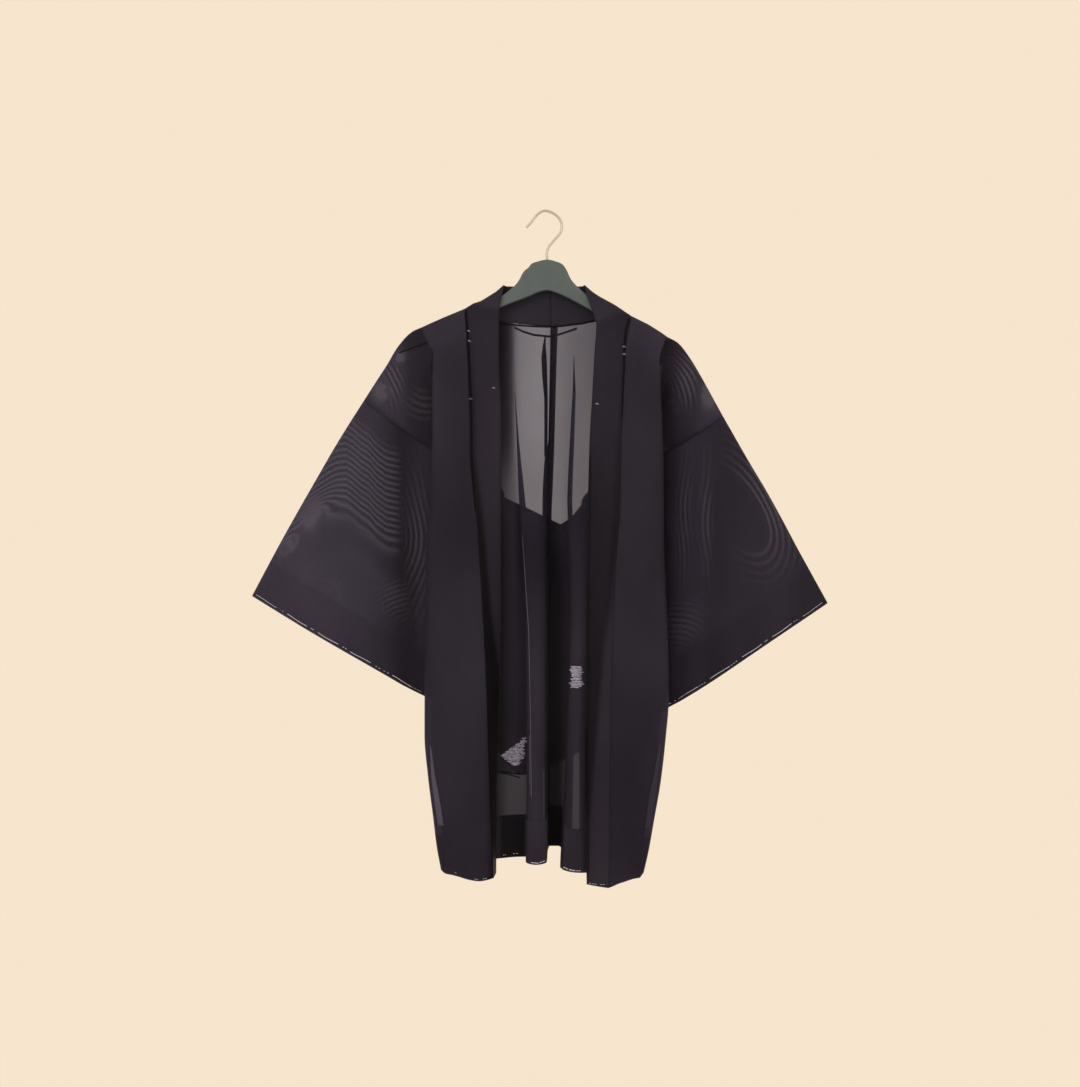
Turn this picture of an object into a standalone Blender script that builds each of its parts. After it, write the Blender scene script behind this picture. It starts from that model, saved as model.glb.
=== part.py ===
"""An unlined summer haori jacket, hanging from a plain clothes hanger.

Tables are in millimetres. X runs to the right as seen from the front, Y to the back and Z up.
The origin is the inner top of the hanger's hook, where a rail would carry it. Every cloth piece
is a grid of points on its own mid surface, which a Solidify modifier turns into a wall.
Sides are named as seen from the front: left is -X and right is +X.
"""
import math

import bmesh
import bpy
import numpy as np

MM = 0.001
CLOTH_WALL = 1.5
COLLAR_WALL = 2.0
SEAM_GAP = 0.35
LARGEST_TRIM = 1.4
SHARPEST_TURN = 2.2
ARMPIT_CLEARANCE = 2.8
ARMPIT_PINCH = 4.0
ARMPIT_STEP = 3.0
WELD = 0.02

LAYER_HALF_GAP = 5.0
FOLD_RADIUS = 6.0
CUFF_OPENING = 240.0
CORNER_RADIUS = 45.0
FRONT_FOLD_DEPTH = -30.0
FRONT_RETURN_DEPTH = 0.0
BACK_FOLD_DEPTH = -20.0
BACK_RETURN_DEPTH = -10.0
ARMPIT_WRAP = 0.59

# How each layer's depth grows from the shoulder fold (share 0) down to the armpit (share 1).
LAYERS = {
    "share":        [0, .012, .036, .071, .124, .201, .290, .373, .467, .574, .716, .858, 1],
    "front":        [0, -5.5, -7.5, -8.5, -9.0, -9.5, -19, -23, -26, -28, -30, -30, -30],
    "front_return": [0, -5.5, -7.5, -8.5, -9.0, -9.5, -7, -5, -3, -1.5, 0, 0, 0],
    "back":         [0, 5.5, 7.5, 8.5, 9.0, 6.0, -12, -15, -18, -19.5, -20, -20, -20],
    "back_return":  [0, 5.5, 7.5, 8.5, 9.0, 6.0, -9, -10, -10.5, -10.5, -10, -10, -10],
    "sleeve_half":  [0, 5.5, 7.5, 8.5, 9.0, 7.2, 5.5, 5, 5, 5, 5, 5, 5],
    "sleeve_share": [0, 0, 0, 0, 0, .07, .18, .38, .57, .76, .92, .98, 1],
}
# Heights of the rows from the armpit (0) to the hem (1).
LOWER_ROWS = [.03, .06, .12, .21, .31, .42, .53, .64, .75, .86, .94, 1]
# Where the front's flat part has its columns, from the collar seam (0) to the outer fold (1).
PANEL_COLUMNS = [0, .14, .32, .5, .68, .85, 1]
SLEEVE_STEPS = [0, .1, .24, .4, .56, .72, .857, .93, .975, 1]
FURI_STEPS = [.12, .3, .5, .7, .87, 1]
COLLAR_ROLL = 1.5
COLLAR_LEAN = 1.0
COLLAR_DIP = 2.0
COLLAR_TURN = 90.0
COLLAR_FALL = 1.55
# How fast the shoulder's bend fades out below it, and the gusset's form between its two edges.
BEND_FADE = 4.0
GUSSET_REACH = .6
GUSSET_CURVE = .15

# The depth of the back panel at these heights, and the place and depth of each of its folds.
BACK_LEVELS = [-152, -188, -251, -320, -400, -547, -688, -919]
SEAM_COLUMN = {
    "neck_z": -161, "collar_x": 9, "hem_z": -898,
    "x": [9, 9, 8, 7, 5, 4, 4, 3], "y": [9, 8.5, 4, -2, -8, -12, -14, -17],
}

LEFT = {
    "inward": 1,
    "shoulder": [(-111, -136), (-140, -148), (-167, -160), (-171, -162)],
    "extension": [(-171, -162), (-191, -171), (-202, -182), (-208, -193), (-229, -227),
                  (-245, -250), (-255, -266)],
    "armhole": [(-255, -266), (-238, -279), (-182, -320), (-159, -334), (-63, -400)],
    "furi": [(-63, -400), (-26, -416), (22, -440), (173, -512)],
    "sleeve_top": [(-255, -266), (-287, -317), (-339, -407), (-377, -475), (-412, -541)],
    "cuff": [(-412, -541), (-336, -588), (-259, -633), (-180, -678), (8, -749), (39, -768)],
    "sleeve_depth": 17, "sleeve_free_x": -302, "sleeve_behind_x": -161,
    "zfold": {
        "front_fold":   [-171.3, -169.9, -167.1, -162.9, -158.6, -157.2, -157.2, -157.2, -157.2,
                         -157.2, -157.9, -158.6, -158.6],
        "front_crease": [-171.3, -169.9, -167.1, -162.9, -158.6, -157.2, -157.2, -144.5, -133.2,
                         -122, -107.9, -89.5, -62.7],
        "back_fold":    [-171.3, -169.9, -167.1, -162.9, -158.6, -151.6, -147.3, -147.3, -147.3,
                         -147.3, -148.8, -149.5, -150.2],
        "back_crease":  [-171.3, -169.9, -167.1, -162.9, -158.6, -151.6, -147.3, -136.1, -124.8,
                         -112.8, -98, -79.7, -56.4],
    },
    "side": {
        "z":          [-400, -423, -462, -547, -632, -688, -744, -801, -847, -893, -931],
        "front_fold": [-159, -159, -166, -166, -167, -168, -168, -163, -157, -152, -145],
        "back_fold":  [-150, -150, -153, -154, -156, -157, -157, -152, -146, -140, -133],
        "seam":       [-63, -68, -75, -82, -88, -91, -94, -97, -99, -102, -104],
        "gusset":     [3, 5, 8, 12, 15, 17, 19, 22, 25, 27, 29],
    },
    "collar_seam": {
        "z": [-137, -171, -202, -223, -265, -348, -423, -491, -560, -657, -754, -818, -928],
        "x": [-111, -108, -106, -105, -103, -102, -95, -90, -86, -81, -78, -75, -71],
        "y": [-8, -9, -10, -13, -17, -27, -36, -40, -44, -48, -53, -55, -58],
    },
    "collar_edge": {
        "z": [-103, -124, -142, -221, -272, -348, -423, -491, -592, -688, -787, -928],
        "x": [-57, -61, -64, -64, -61, -61, -61, -61, -62, -63, -67, -68],
        "y": [-7, -9.5, -10, -8, -9, -15, -18, -18, -18, -18, -18, -18],
    },
    "front_hem": {"share": [0, .2, .4, .8, 1], "z": [-929, -933, -935, -928, -925], "return_z": -922},
    "neck_columns": {
        "fold1_right": {"neck_z": -160, "collar_x": 4, "hem_z": -912,
                        "x": [4, 3, 2, 2, 2, 1, 0, -1], "y": [9, 8.5, 1, -5, -12, -18, -22, -27]},
        "fold1_crest": {"neck_z": -159, "collar_x": -12, "hem_z": -915,
                        "x": [-13, -15, -16, -16, -15, -12, -11, -12],
                        "y": [9, 8.5, 2, -5, -13, -20, -25, -30]},
        "fold1_left":  {"neck_z": -157, "collar_x": -27, "hem_z": -912,
                        "x": [-33, -37, -42, -39, -36, -27, -25, -25],
                        "y": [9, 8.5, 3, -4, -11, -16, -20, -25]},
        "fold1_under": {"neck_z": -156, "collar_x": -32, "hem_z": -908,
                        "x": [-37, -42, -46, -40, -34, -23, -19, -19],
                        "y": [9, 8.5, 5, -1, -7, -7, -7, -8]},
        "valley":      {"neck_z": -155, "collar_x": -39, "hem_z": -908,
                        "x": [-46, -50, -53, -49, -44, -36, -35, -36],
                        "y": [9, 8.5, 6, 1, -6, -5, -5, -5]},
        "shade":       {"neck_z": -153, "collar_x": -47, "hem_z": -909,
                        "x": [-60, -61, -63, -61, -59, -63, -66, -66],
                        "y": [9, 8.5, 5, -5, -14, -14, -14, -14]},
        "inner":       {"neck_z": -149, "collar_x": -52, "hem_z": -911,
                        "x": [-80, -80, -80, -80, -82, -87, -92, -91],
                        "y": [9, 8.5, 1, -14, -19, -20, -20, -20]},
        "blade":       {"neck_z": -145, "collar_x": -54, "hem_z": -913,
                        "x": [-97, -95, -95, -95, -97, -102, -106, -104],
                        "y": [8.5, 8.5, 0, -17, -20, -20, -20, -20]},
        "turn":        {"neck_z": -139.5, "collar_x": -56, "hem_z": -915, "top_y": [5.8, 7.2, 8.2],
                        "x": [-109, -106, -105, -105, -108, -112, -115, -112],
                        "y": [8.5, 8.5, -1, -19, -20, -20, -20, -20]},
        "neck":        {"neck_z": -136, "collar_x": -57, "hem_z": -916, "top_y": [0, 5.5, 7.5, 8.3],
                        "x": [-111, -110, -111, -112, -114, -118, -121, -117],
                        "y": [8, 8.5, -2, -19, -20, -20, -20, -20]},
    },
    "collar_top_z": -103, "back_hem_fold_z": -916,
}

RIGHT = {
    "inward": -1,
    "shoulder": [(121, -146), (147, -159), (166, -171), (172.7, -176)],
    "extension": [(172.7, -176), (185, -182), (198, -193), (204, -204), (211, -216), (218, -227),
                  (231, -250), (243, -272), (252, -288)],
    "armhole": [(252, -288), (232, -302), (203, -321), (181, -332), (58.5, -410)],
    "furi": [(58.5, -410), (39, -430), (22, -440), (-167, -536)],
    "sleeve_top": [(252, -288), (281, -340), (321, -407), (357, -475), (399, -551)],
    "cuff": [(399, -551), (343, -588), (276, -633), (207, -678), (176, -695), (-26, -798), (-46, -794)],
    "sleeve_depth": 39, "sleeve_free_x": 276, "sleeve_behind_x": 149,
    "zfold": {
        "front_fold":   [172.7, 171.7, 169.9, 167.1, 163.6, 162.1, 162.1, 162.9, 164.3, 165.7,
                         166.4, 166.7, 166.7],
        "front_crease": [172.7, 171.7, 169.9, 167.1, 163.6, 162.1, 162.1, 150.2, 138.9, 127.6,
                         110.7, 88.1, 58.5],
        "back_fold":    [172.7, 171.7, 169.9, 167.1, 163.6, 157.2, 153, 153, 154.4, 155.8,
                         157.2, 157.9, 158.2],
        "back_crease":  [172.7, 171.7, 169.9, 167.1, 163.6, 157.2, 153, 141.7, 130.4, 117.7,
                         99.4, 78.3, 52.2],
    },
    "side": {
        "z":          [-410, -423, -462, -547, -592, -695, -744, -801, -847, -893, -938],
        "front_fold": [167, 167, 167, 170, 173, 174, 170, 164, 156, 149, 139],
        "back_fold":  [158, 158, 157, 160, 163, 164, 160, 154, 146, 139, 129],
        "seam":       [59, 64, 70, 77, 80, 85, 88, 91, 92, 94, 95],
        "gusset":     [3, 5, 8, 12, 15, 18, 20, 23, 25, 27, 29],
    },
    "collar_seam": {
        "z": [-146, -179, -202, -223, -272, -321, -423, -491, -603, -688, -759, -942],
        "x": [121, 116, 112, 111, 110, 107, 105, 99, 94, 91, 90, 88],
        "y": [-8, -9, -10, -13, -17, -25, -36, -40, -45, -49, -53, -58],
    },
    "collar_edge": {
        "z": [-103, -124, -140, -159, -202, -259, -323, -372, -462, -592, -688, -787, -945],
        "x": [56, 61, 67, 73, 70, 67, 63, 62, 61, 60, 58, 56, 59],
        "y": [-7, -9.5, -10, -10, -9, -11, -17, -20, -25, -27, -29, -31, -31],
    },
    "front_hem": {"share": [0, .3, .6, .8, 1], "z": [-941, -940, -935, -932, -929], "return_z": -925},
    "neck_columns": {
        "notch_in":    {"neck_z": -161, "collar_x": 14, "hem_z": -893,
                        "x": [14, 14, 12, 10, 9, 8, 7, 6], "y": [9, 8.5, 5, -1, -6, -5, -4, -3]},
        "notch_out":   {"neck_z": -160, "collar_x": 26, "hem_z": -893,
                        "x": [29, 26, 25, 24, 24, 24, 21, 20], "y": [9, 8.5, 6, 1, -4, -3, -3, -3]},
        "fold2_under": {"neck_z": -159, "collar_x": 35, "hem_z": -902,
                        "x": [40, 39, 37, 34, 32, 38, 35, 27], "y": [9, 8.5, 5, 0, -5, -6, -6, -6]},
        "fold2_left":  {"neck_z": -158, "collar_x": 37, "hem_z": -914,
                        "x": [44, 42, 40, 36, 32, 36, 33, 23],
                        "y": [9, 8.5, 2, -4, -9, -14, -18, -22]},
        "fold2_crest": {"neck_z": -158, "collar_x": 40, "hem_z": -920,
                        "x": [50, 49, 49, 47, 46, 47, 46, 43],
                        "y": [9, 8.5, 0, -6, -13, -19, -22, -26]},
        "fold2_right": {"neck_z": -155, "collar_x": 47, "hem_z": -921,
                        "x": [64, 63, 61, 60, 60, 61, 61, 61],
                        "y": [9, 8.5, 1, -8, -15, -18, -19, -21]},
        "inner":       {"neck_z": -152, "collar_x": 51, "hem_z": -922,
                        "x": [92, 88, 85, 82, 80, 82, 84, 86],
                        "y": [9, 8.5, -3, -15, -20, -20, -20, -20]},
        "blade":       {"neck_z": -151, "collar_x": 54, "hem_z": -922,
                        "x": [108, 105, 104, 102, 101, 103, 104, 100],
                        "y": [8.5, 8.5, -5, -18, -20, -20, -20, -20]},
        "turn":        {"neck_z": -149, "collar_x": 55, "hem_z": -923, "top_y": [5.8, 7.2, 8.2],
                        "x": [119, 117, 116, 116, 116, 118, 118, 108],
                        "y": [8.5, 8.5, -6, -20, -20, -20, -20, -20]},
        "neck":        {"neck_z": -146, "collar_x": 56, "hem_z": -923, "top_y": [0, 5.5, 7.5, 8.3],
                        "x": [121, 122, 123, 124, 125, 127, 127, 114],
                        "y": [8, 8.5, -6, -20, -20, -20, -20, -20]},
    },
    "collar_top_z": -103, "back_hem_fold_z": -923,
}

# The hanger: half thicknesses, and its outline from the neck over one arm and back.
HANGER_HALF = 4.6
HANGER_EDGE = 2.4
ARM_DROPS = [3.0, 2.3, 3.0, 6.0]
ARM_TIP = (9, -11)
HANGER_NECK = [(-24, -77), (-20, -70), (-10, -68), (4, -67), (18, -68), (27, -72), (30, -78)]
HANGER_NECK_SIDE_LEFT = [(-29, -84), (-37, -98), (-44, -106), (-57, -116), (-84, -129)]
HANGER_NECK_SIDE_RIGHT = [(38, -96), (46, -105), (60, -117), (86, -134)]
HANGER_UNDERSIDE = [(188, -205), (150, -187), (66, -139), (10, -112), (1, -111), (-26, -121),
                    (-60, -134), (-150, -176), (-191, -196)]
HOOK_RADIUS = 1.75
HOOK_PATH = [(4, -66.7), (4, -58), (4.5, -50), (12, -42.5), (20, -34), (24, -24), (23.5, -14),
             (19, -6), (11, 0), (0, 1.75), (-9, -2), (-17, -9), (-23, -16), (-27, -22)]


def smooth(share):
    """An even start and stop between 0 and 1."""
    share = min(max(share, 0.0), 1.0)
    return share * share * (3 - 2 * share)


def lookup(keys, values, key):
    """A value between the rows of a table, whose keys rise or fall."""
    if keys[0] > keys[-1]:
        keys, values = keys[::-1], values[::-1]
    return float(np.interp(key, keys, values))


def along(line, share):
    """The point at a share of the length of a line of (x, z) points."""
    points = np.array(line, float)
    lengths = np.concatenate([[0], np.cumsum(np.linalg.norm(np.diff(points, axis=0), axis=1))])
    place = share * lengths[-1]
    return np.array([np.interp(place, lengths, points[:, 0]), np.interp(place, lengths, points[:, 1])])


def line_length(line):
    return float(np.sum(np.linalg.norm(np.diff(np.array(line, float), axis=0), axis=1)))


def sleeve_middle(side, x):
    """Depth of the middle of a sleeve: free beside the body, then behind it."""
    free, behind = side["sleeve_free_x"], side["sleeve_behind_x"]
    return side["sleeve_depth"] * smooth((x - free) / (behind - free))


def fold_points(x_fold, depth_a, depth_b, reach):
    """Three points round a fold, whose sides lie at two depths."""
    middle, half = (depth_a + depth_b) / 2, (depth_b - depth_a) / 2
    angles = [math.radians(a) for a in (45, 90, 135)]
    return [(x_fold + reach * (1 - math.sin(a)), middle - half * math.cos(a)) for a in angles]


def hanging_section(side, layer, row, level):
    """Fold, return and end of a layer at one height, as (x, y) points from the panel outwards.

    Above the armpit the layer ends on the crease where the shoulder extension starts, and below
    it at the gusset's seam."""
    inward = side["inward"]
    if row < len(LAYERS["share"]):
        depth, back_depth = LAYERS[layer][row], LAYERS[layer + "_return"][row]
        zfold = side["zfold"]
        x_fold, x_end = zfold[layer + "_fold"][row], zfold[layer + "_crease"][row]
        sleeve = side["sleeve_depth"] * LAYERS["sleeve_share"][row]
        half = LAYERS["sleeve_half"][row] * (-1 if layer == "front" else 1)
        wrap = ARMPIT_WRAP if layer == "back" and row == len(LAYERS["share"]) - 1 else 0.5
        end_depth = back_depth + (sleeve + half - back_depth) * wrap
        if x_end == x_fold:
            end_depth = back_depth
        reach = inward * min(FOLD_RADIUS, 0.33 * abs(x_end - x_fold))
    else:
        front = layer == "front"
        depth = FRONT_FOLD_DEPTH if front else BACK_FOLD_DEPTH
        back_depth = FRONT_RETURN_DEPTH if front else BACK_RETURN_DEPTH
        table = side["side"]
        x_fold = lookup(table["z"], table[layer + "_fold"], level)
        x_end = lookup(table["z"], table["seam"], level)
        end_depth = back_depth
        reach = inward * FOLD_RADIUS
    points = [(x_fold + reach, depth)]
    points += fold_points(x_fold, depth, back_depth, reach)
    points.append((x_fold + reach, back_depth))
    points.append(((x_fold + x_end) / 2, back_depth))
    points.append((x_end - reach, back_depth))
    points.append((x_end, end_depth))
    return points


def row_shares():
    """Every row from the shoulder to the hem, as (row, share above, share below) of the armpit."""
    rows = [(i, share, 0.0) for i, share in enumerate(LAYERS["share"])]
    rows += [(len(rows) + i, 1.0, share) for i, share in enumerate(LOWER_ROWS)]
    return rows


def height(top, armpit, hem, share_above, share_below):
    return top + (armpit - top) * share_above + (hem - armpit) * share_below


def ridge_bend(side, column, above):
    """How far a column's top lies from its even place on the shoulder, fading out below it."""
    start, stop = side["shoulder"][0][0], side["shoulder"][-1][0]
    even = start + (stop - start) * column
    return (along(side["shoulder"], column)[0] - even) * (1 - smooth(above * BEND_FADE))


def front_sheet(side):
    """The front from the collar seam to the outer fold, and its return behind the back."""
    armpit = side["armhole"][-1][1]
    level_end = side["side"]["z"][-1]
    hem = side["front_hem"]
    seam = side["collar_seam"]
    grid = []
    for row, above, below in row_shares():
        level = height(side["shoulder"][-1][1], armpit, level_end, above, below)
        section = hanging_section(side, "front", row, level)
        points = []
        for column in PANEL_COLUMNS:
            top = along(side["shoulder"], column)
            z = height(top[1], armpit, lookup(hem["share"], hem["z"], column), above, below)
            seam_x, seam_y = lookup(seam["z"], seam["x"], z), lookup(seam["z"], seam["y"], z)
            if row < 3:
                seam_x, seam_y = side["shoulder"][0][0], LAYERS["front"][row]
            x = seam_x + (section[0][0] - seam_x) * column + ridge_bend(side, column, above)
            y = seam_y + (section[0][1] - seam_y) * smooth(column)
            points.append((x, y, z))
        top_z = side["shoulder"][-1][1]
        z = height(top_z, armpit, hem["return_z"], above, below)
        points += [(x, y, z) for x, y in section[1:]]
        grid.append(points)
    return grid


def back_column(column, armpit, row, above, below):
    """A point of the back panel, whose columns beside the shoulder start on top of the hanger."""
    z = height(column["neck_z"], armpit, column["hem_z"], above, below)
    x, y = lookup(BACK_LEVELS, column["x"], z), lookup(BACK_LEVELS, column["y"], z)
    top_depths = column.get("top_y", [])
    if row < len(top_depths):
        y = top_depths[row]
    return (x, y, z)


def back_sheet(side):
    """The back from its centre seam past the neck to the side fold, and its return."""
    armpit = side["armhole"][-1][1]
    level_end = side["side"]["z"][-1]
    columns = [SEAM_COLUMN] + list(side["neck_columns"].values())
    grid = []
    for row, above, below in row_shares():
        level = height(side["shoulder"][-1][1], armpit, level_end, above, below)
        section = hanging_section(side, "back", row, level)
        points = [back_column(column, armpit, row, above, below) for column in columns]
        neck = points[-1]
        for column in PANEL_COLUMNS[1:]:
            top = along(side["shoulder"], column)
            hem_z = neck_hem(side, column)
            z = height(top[1], armpit, hem_z, above, below)
            x = neck[0] + (section[0][0] - neck[0]) * column + ridge_bend(side, column, above)
            y = neck[1] + (section[0][1] - neck[1]) * smooth(column)
            points.append((x, y, z))
        z = height(side["shoulder"][-1][1], armpit, side["back_hem_fold_z"], above, below)
        points += [(x, y, z) for x, y in section[1:]]
        grid.append(points)
    return grid


def neck_hem(side, column):
    start = side["neck_columns"]["neck"]["hem_z"]
    return start + (side["back_hem_fold_z"] - start) * column


def extension_sheet(side, layer, creases):
    """The shoulder beyond the hanging panel: from the crease out to the sleeve's seam."""
    sign = -1 if layer == "front" else 1
    top = side["extension"]
    start, stop = np.array(top[0], float), np.array(top[-1], float)
    last = len(LAYERS["share"]) - 1
    grid = []
    for row, share in enumerate(LAYERS["share"]):
        crease = np.array(creases[row])
        end = along(side["armhole"], share)
        half = min(LAYERS["sleeve_half"][row], 6.0) * sign
        middle = sleeve_middle(side, end[0])
        own = side["sleeve_depth"] * LAYERS["sleeve_share"][row] + LAYERS["sleeve_half"][row] * sign
        points = [tuple(crease)]
        for part in (.12, .34, .56, .78, 1):
            if row == last:
                points.append(tuple(crease))
                continue
            bulge = along(top, part) - (start + (stop - start) * part)
            flat = np.array([crease[0], crease[2]]) * (1 - part) + end * part
            flat += bulge * (1 - share) ** 2
            y = own * (1 - part) + half * part + middle * part ** 2
            points.append((flat[0], y, flat[1]))
        grid.append(points)
    return grid


def sleeve_ring_lines(side):
    """Places along a sleeve's ring, from its top fold to its lower edge."""
    arm_length, furi_length = line_length(side["armhole"]), line_length(side["furi"])
    whole = arm_length + furi_length
    shares = [share * arm_length / whole for share in LAYERS["share"]]
    shares += [(arm_length + share * furi_length) / whole for share in FURI_STEPS]
    body_end = [along(side["armhole"], share) for share in LAYERS["share"]]
    body_end += [along(side["furi"], share) for share in FURI_STEPS]
    return shares, body_end


def sleeve_rings(side, armhole_front, armhole_back):
    """Rings of a flattened sleeve, swept from the body to the cuff."""
    shares, body_end = sleeve_ring_lines(side)
    seam_rows = len(LAYERS["share"])
    halves = [min(h, 6.0) for h in LAYERS["sleeve_half"]] + [LAYER_HALF_GAP] * len(FURI_STEPS)
    top_start, top_stop = np.array(side["sleeve_top"][0]), np.array(side["sleeve_top"][-1])
    width = line_length(side["sleeve_top"])
    depth = line_length(side["cuff"])
    rings = []
    for step in SLEEVE_STEPS:
        top_bow = along(side["sleeve_top"], step) - (top_start + (top_stop - top_start) * step)
        corner = max(0.0, (step * width - (width - CORNER_RADIUS)) / CORNER_RADIUS)
        short = 1 - CORNER_RADIUS / depth * (1 - math.sqrt(max(0.0, 1 - corner * corner)))
        front, back = [], []
        for i, share in enumerate(shares):
            place = share * short
            cuff = along(side["cuff"], place)
            flat = body_end[i] * (1 - step) + cuff * step + top_bow * (1 - share)
            middle = sleeve_middle(side, flat[0])
            front.append((flat[0], middle - halves[i], flat[1]))
            back.append((flat[0], middle + halves[i], flat[1]))
            if step == 0 and i < seam_rows - 1:
                front[-1], back[-1] = armhole_front[i], armhole_back[i]
            elif step == 0 and i == seam_rows - 1:
                x, y, z = armhole_front[i]
                front[-1] = (x, y + ARMPIT_PINCH, z)
                back[-1] = (x + ARMPIT_STEP * side["inward"], back[-1][1] - ARMPIT_PINCH, z)
        lowest = np.array(front[-1]) * 0.5 + np.array(back[-1]) * 0.5
        outward = np.array(front[-1]) - np.array(front[-2])
        lowest += outward / np.linalg.norm(outward) * LAYER_HALF_GAP * 0.8
        rings.append(front + [tuple(lowest)] + back[:0:-1])
    return rings, shares, depth


def collar_grid(side, front_seam, neck_seam):
    """The collar band from the front hem over the shoulder to the centre of the back neck."""
    edge = side["collar_edge"]
    grid = []
    ridge_z = side["shoulder"][0][1]
    for row, seam_point in reversed(list(enumerate(front_seam))):
        z = seam_point[2]
        share = smooth((ridge_z - z) / COLLAR_TURN)
        edge_z = side["collar_top_z"] + (z - ridge_z) * COLLAR_FALL
        edge_z = edge_z * (1 - share) + z * share
        edge_y = lookup(edge["z"], edge["y"], edge_z)
        if row < 3:
            edge_y = LAYERS["front"][row]
        edge_point = (lookup(edge["z"], edge["x"], edge_z), edge_y, edge_z)
        grid.append(across(seam_point, edge_point, side["inward"]))
    columns = list(side["neck_columns"].values())[::-1] + [SEAM_COLUMN]
    top_z = side["collar_top_z"]
    for i, (seam_point, column) in enumerate(zip(neck_seam, columns)):
        if i == 0:
            continue
        edge_z = top_z - COLLAR_DIP * i / len(columns)
        edge_point = (column["collar_x"], seam_point[1] + COLLAR_LEAN, edge_z)
        grid.append(across(seam_point, edge_point, side["inward"]))
    return grid


def across(seam_point, edge_point, inward):
    """Three points across the collar, with a slight roll in the middle."""
    a, b = np.array(seam_point, float), np.array(edge_point, float)
    middle = (a + b) / 2
    middle[1] += COLLAR_ROLL if a[1] > 4 else -COLLAR_ROLL
    return [tuple(a), tuple(middle), tuple(b)]


def gusset_grid(side, front_end, back_end):
    """The gusset from armpit to hem, folded inwards between the front's and the back's edges."""
    table = side["side"]
    grid = []
    for a, b in zip(front_end, back_end):
        a, b = np.array(a, float), np.array(b, float)
        reach = lookup(table["z"], table["gusset"], a[2]) * side["inward"]
        middle = (a + b) / 2
        near = max(a[0] * side["inward"], b[0] * side["inward"]) * side["inward"]
        tip = np.array([near + reach, middle[1], middle[2]])
        quarter_a, quarter_b = (end + (tip - end) * GUSSET_REACH for end in (a, b))
        quarter_a[1] = a[1] + (middle[1] - a[1]) * GUSSET_CURVE
        quarter_b[1] = b[1] + (middle[1] - b[1]) * GUSSET_CURVE
        grid.append([tuple(a), tuple(quarter_a), tuple(tip), tuple(quarter_b), tuple(b)])
    return grid


def trim(point, inside, beyond, wall):
    """The move of an edge point into its own sheet, so that two walls end a seam's gap apart."""
    point, inside, beyond = (np.array(v, float) for v in (point, inside, beyond))
    back, onward = inside - point, beyond - point
    size, size_onward = np.linalg.norm(back), np.linalg.norm(onward)
    if size < WELD or size_onward < WELD:
        return np.zeros(3)
    cosine = float(back @ onward) / size / size_onward
    turn = math.pi - math.acos(max(-1.0, min(1.0, cosine)))
    amount = SEAM_GAP / 2 + wall / 2 * math.tan(min(turn, SHARPEST_TURN) / 2)
    return back / size * min(amount, LARGEST_TRIM, size * .45)


def column_of(grid, index):
    return [row[index] for row in grid]


def make_material(name, color, roughness, metallic=0.0):
    material = bpy.data.materials.new(name)
    material.use_nodes = True
    shader = material.node_tree.nodes["Principled BSDF"]
    shader.inputs["Base Color"].default_value = (*color, 1)
    shader.inputs["Roughness"].default_value = roughness
    shader.inputs["Metallic"].default_value = metallic
    return material


def add_grid(mesh, grid, closed=False):
    """Faces between the neighbouring points of a grid."""
    rows = [[mesh.verts.new([c * MM for c in point]) for point in row] for row in grid]
    for upper_row, lower_row in zip(rows, rows[1:]):
        count = len(upper_row)
        for i in range(count if closed else count - 1):
            j = (i + 1) % count
            mesh.faces.new((upper_row[i], upper_row[j], lower_row[j], lower_row[i]))
    return rows


def finish_cloth(name, mesh, wall, material):
    """Weld a piece's grids into one sheet and give it its wall."""
    bmesh.ops.remove_doubles(mesh, verts=mesh.verts, dist=WELD * MM)
    bmesh.ops.recalc_face_normals(mesh, faces=mesh.faces)
    data = bpy.data.meshes.new(name)
    mesh.to_mesh(data)
    mesh.free()
    data.materials.append(material)
    data.shade_smooth()
    piece = bpy.data.objects.new(name, data)
    bpy.context.scene.collection.objects.link(piece)
    solidify = piece.modifiers.new("wall", "SOLIDIFY")
    solidify.thickness = wall * MM
    solidify.offset = 0
    solidify.use_rim = True
    solidify.use_even_offset = False
    return piece


def make_side(side):
    """Every sheet of one side, with the seams still closed."""
    front, back = front_sheet(side), back_sheet(side)
    upper_rows = len(LAYERS["share"])
    sheets = {"front": front, "back": back}
    for layer in ("front", "back"):
        creases = [row[-1] for row in sheets[layer][:upper_rows]]
        sheets[layer + "_extension"] = extension_sheet(side, layer, creases)
    armholes = [column_of(sheets[layer + "_extension"], -1) for layer in ("front", "back")]
    sheets["sleeve"], sheets["ring_shares"], sheets["cuff_depth"] = sleeve_rings(side, *armholes)
    neck_seam = back[0][:len(side["neck_columns"]) + 1][::-1]
    sheets["collar"] = collar_grid(side, column_of(front, 0), neck_seam)
    ends = [column_of(sheets[layer], -1)[upper_rows + 1:] for layer in ("front", "back")]
    sheets["gusset"] = gusset_grid(side, *ends)
    return sheets


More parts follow.
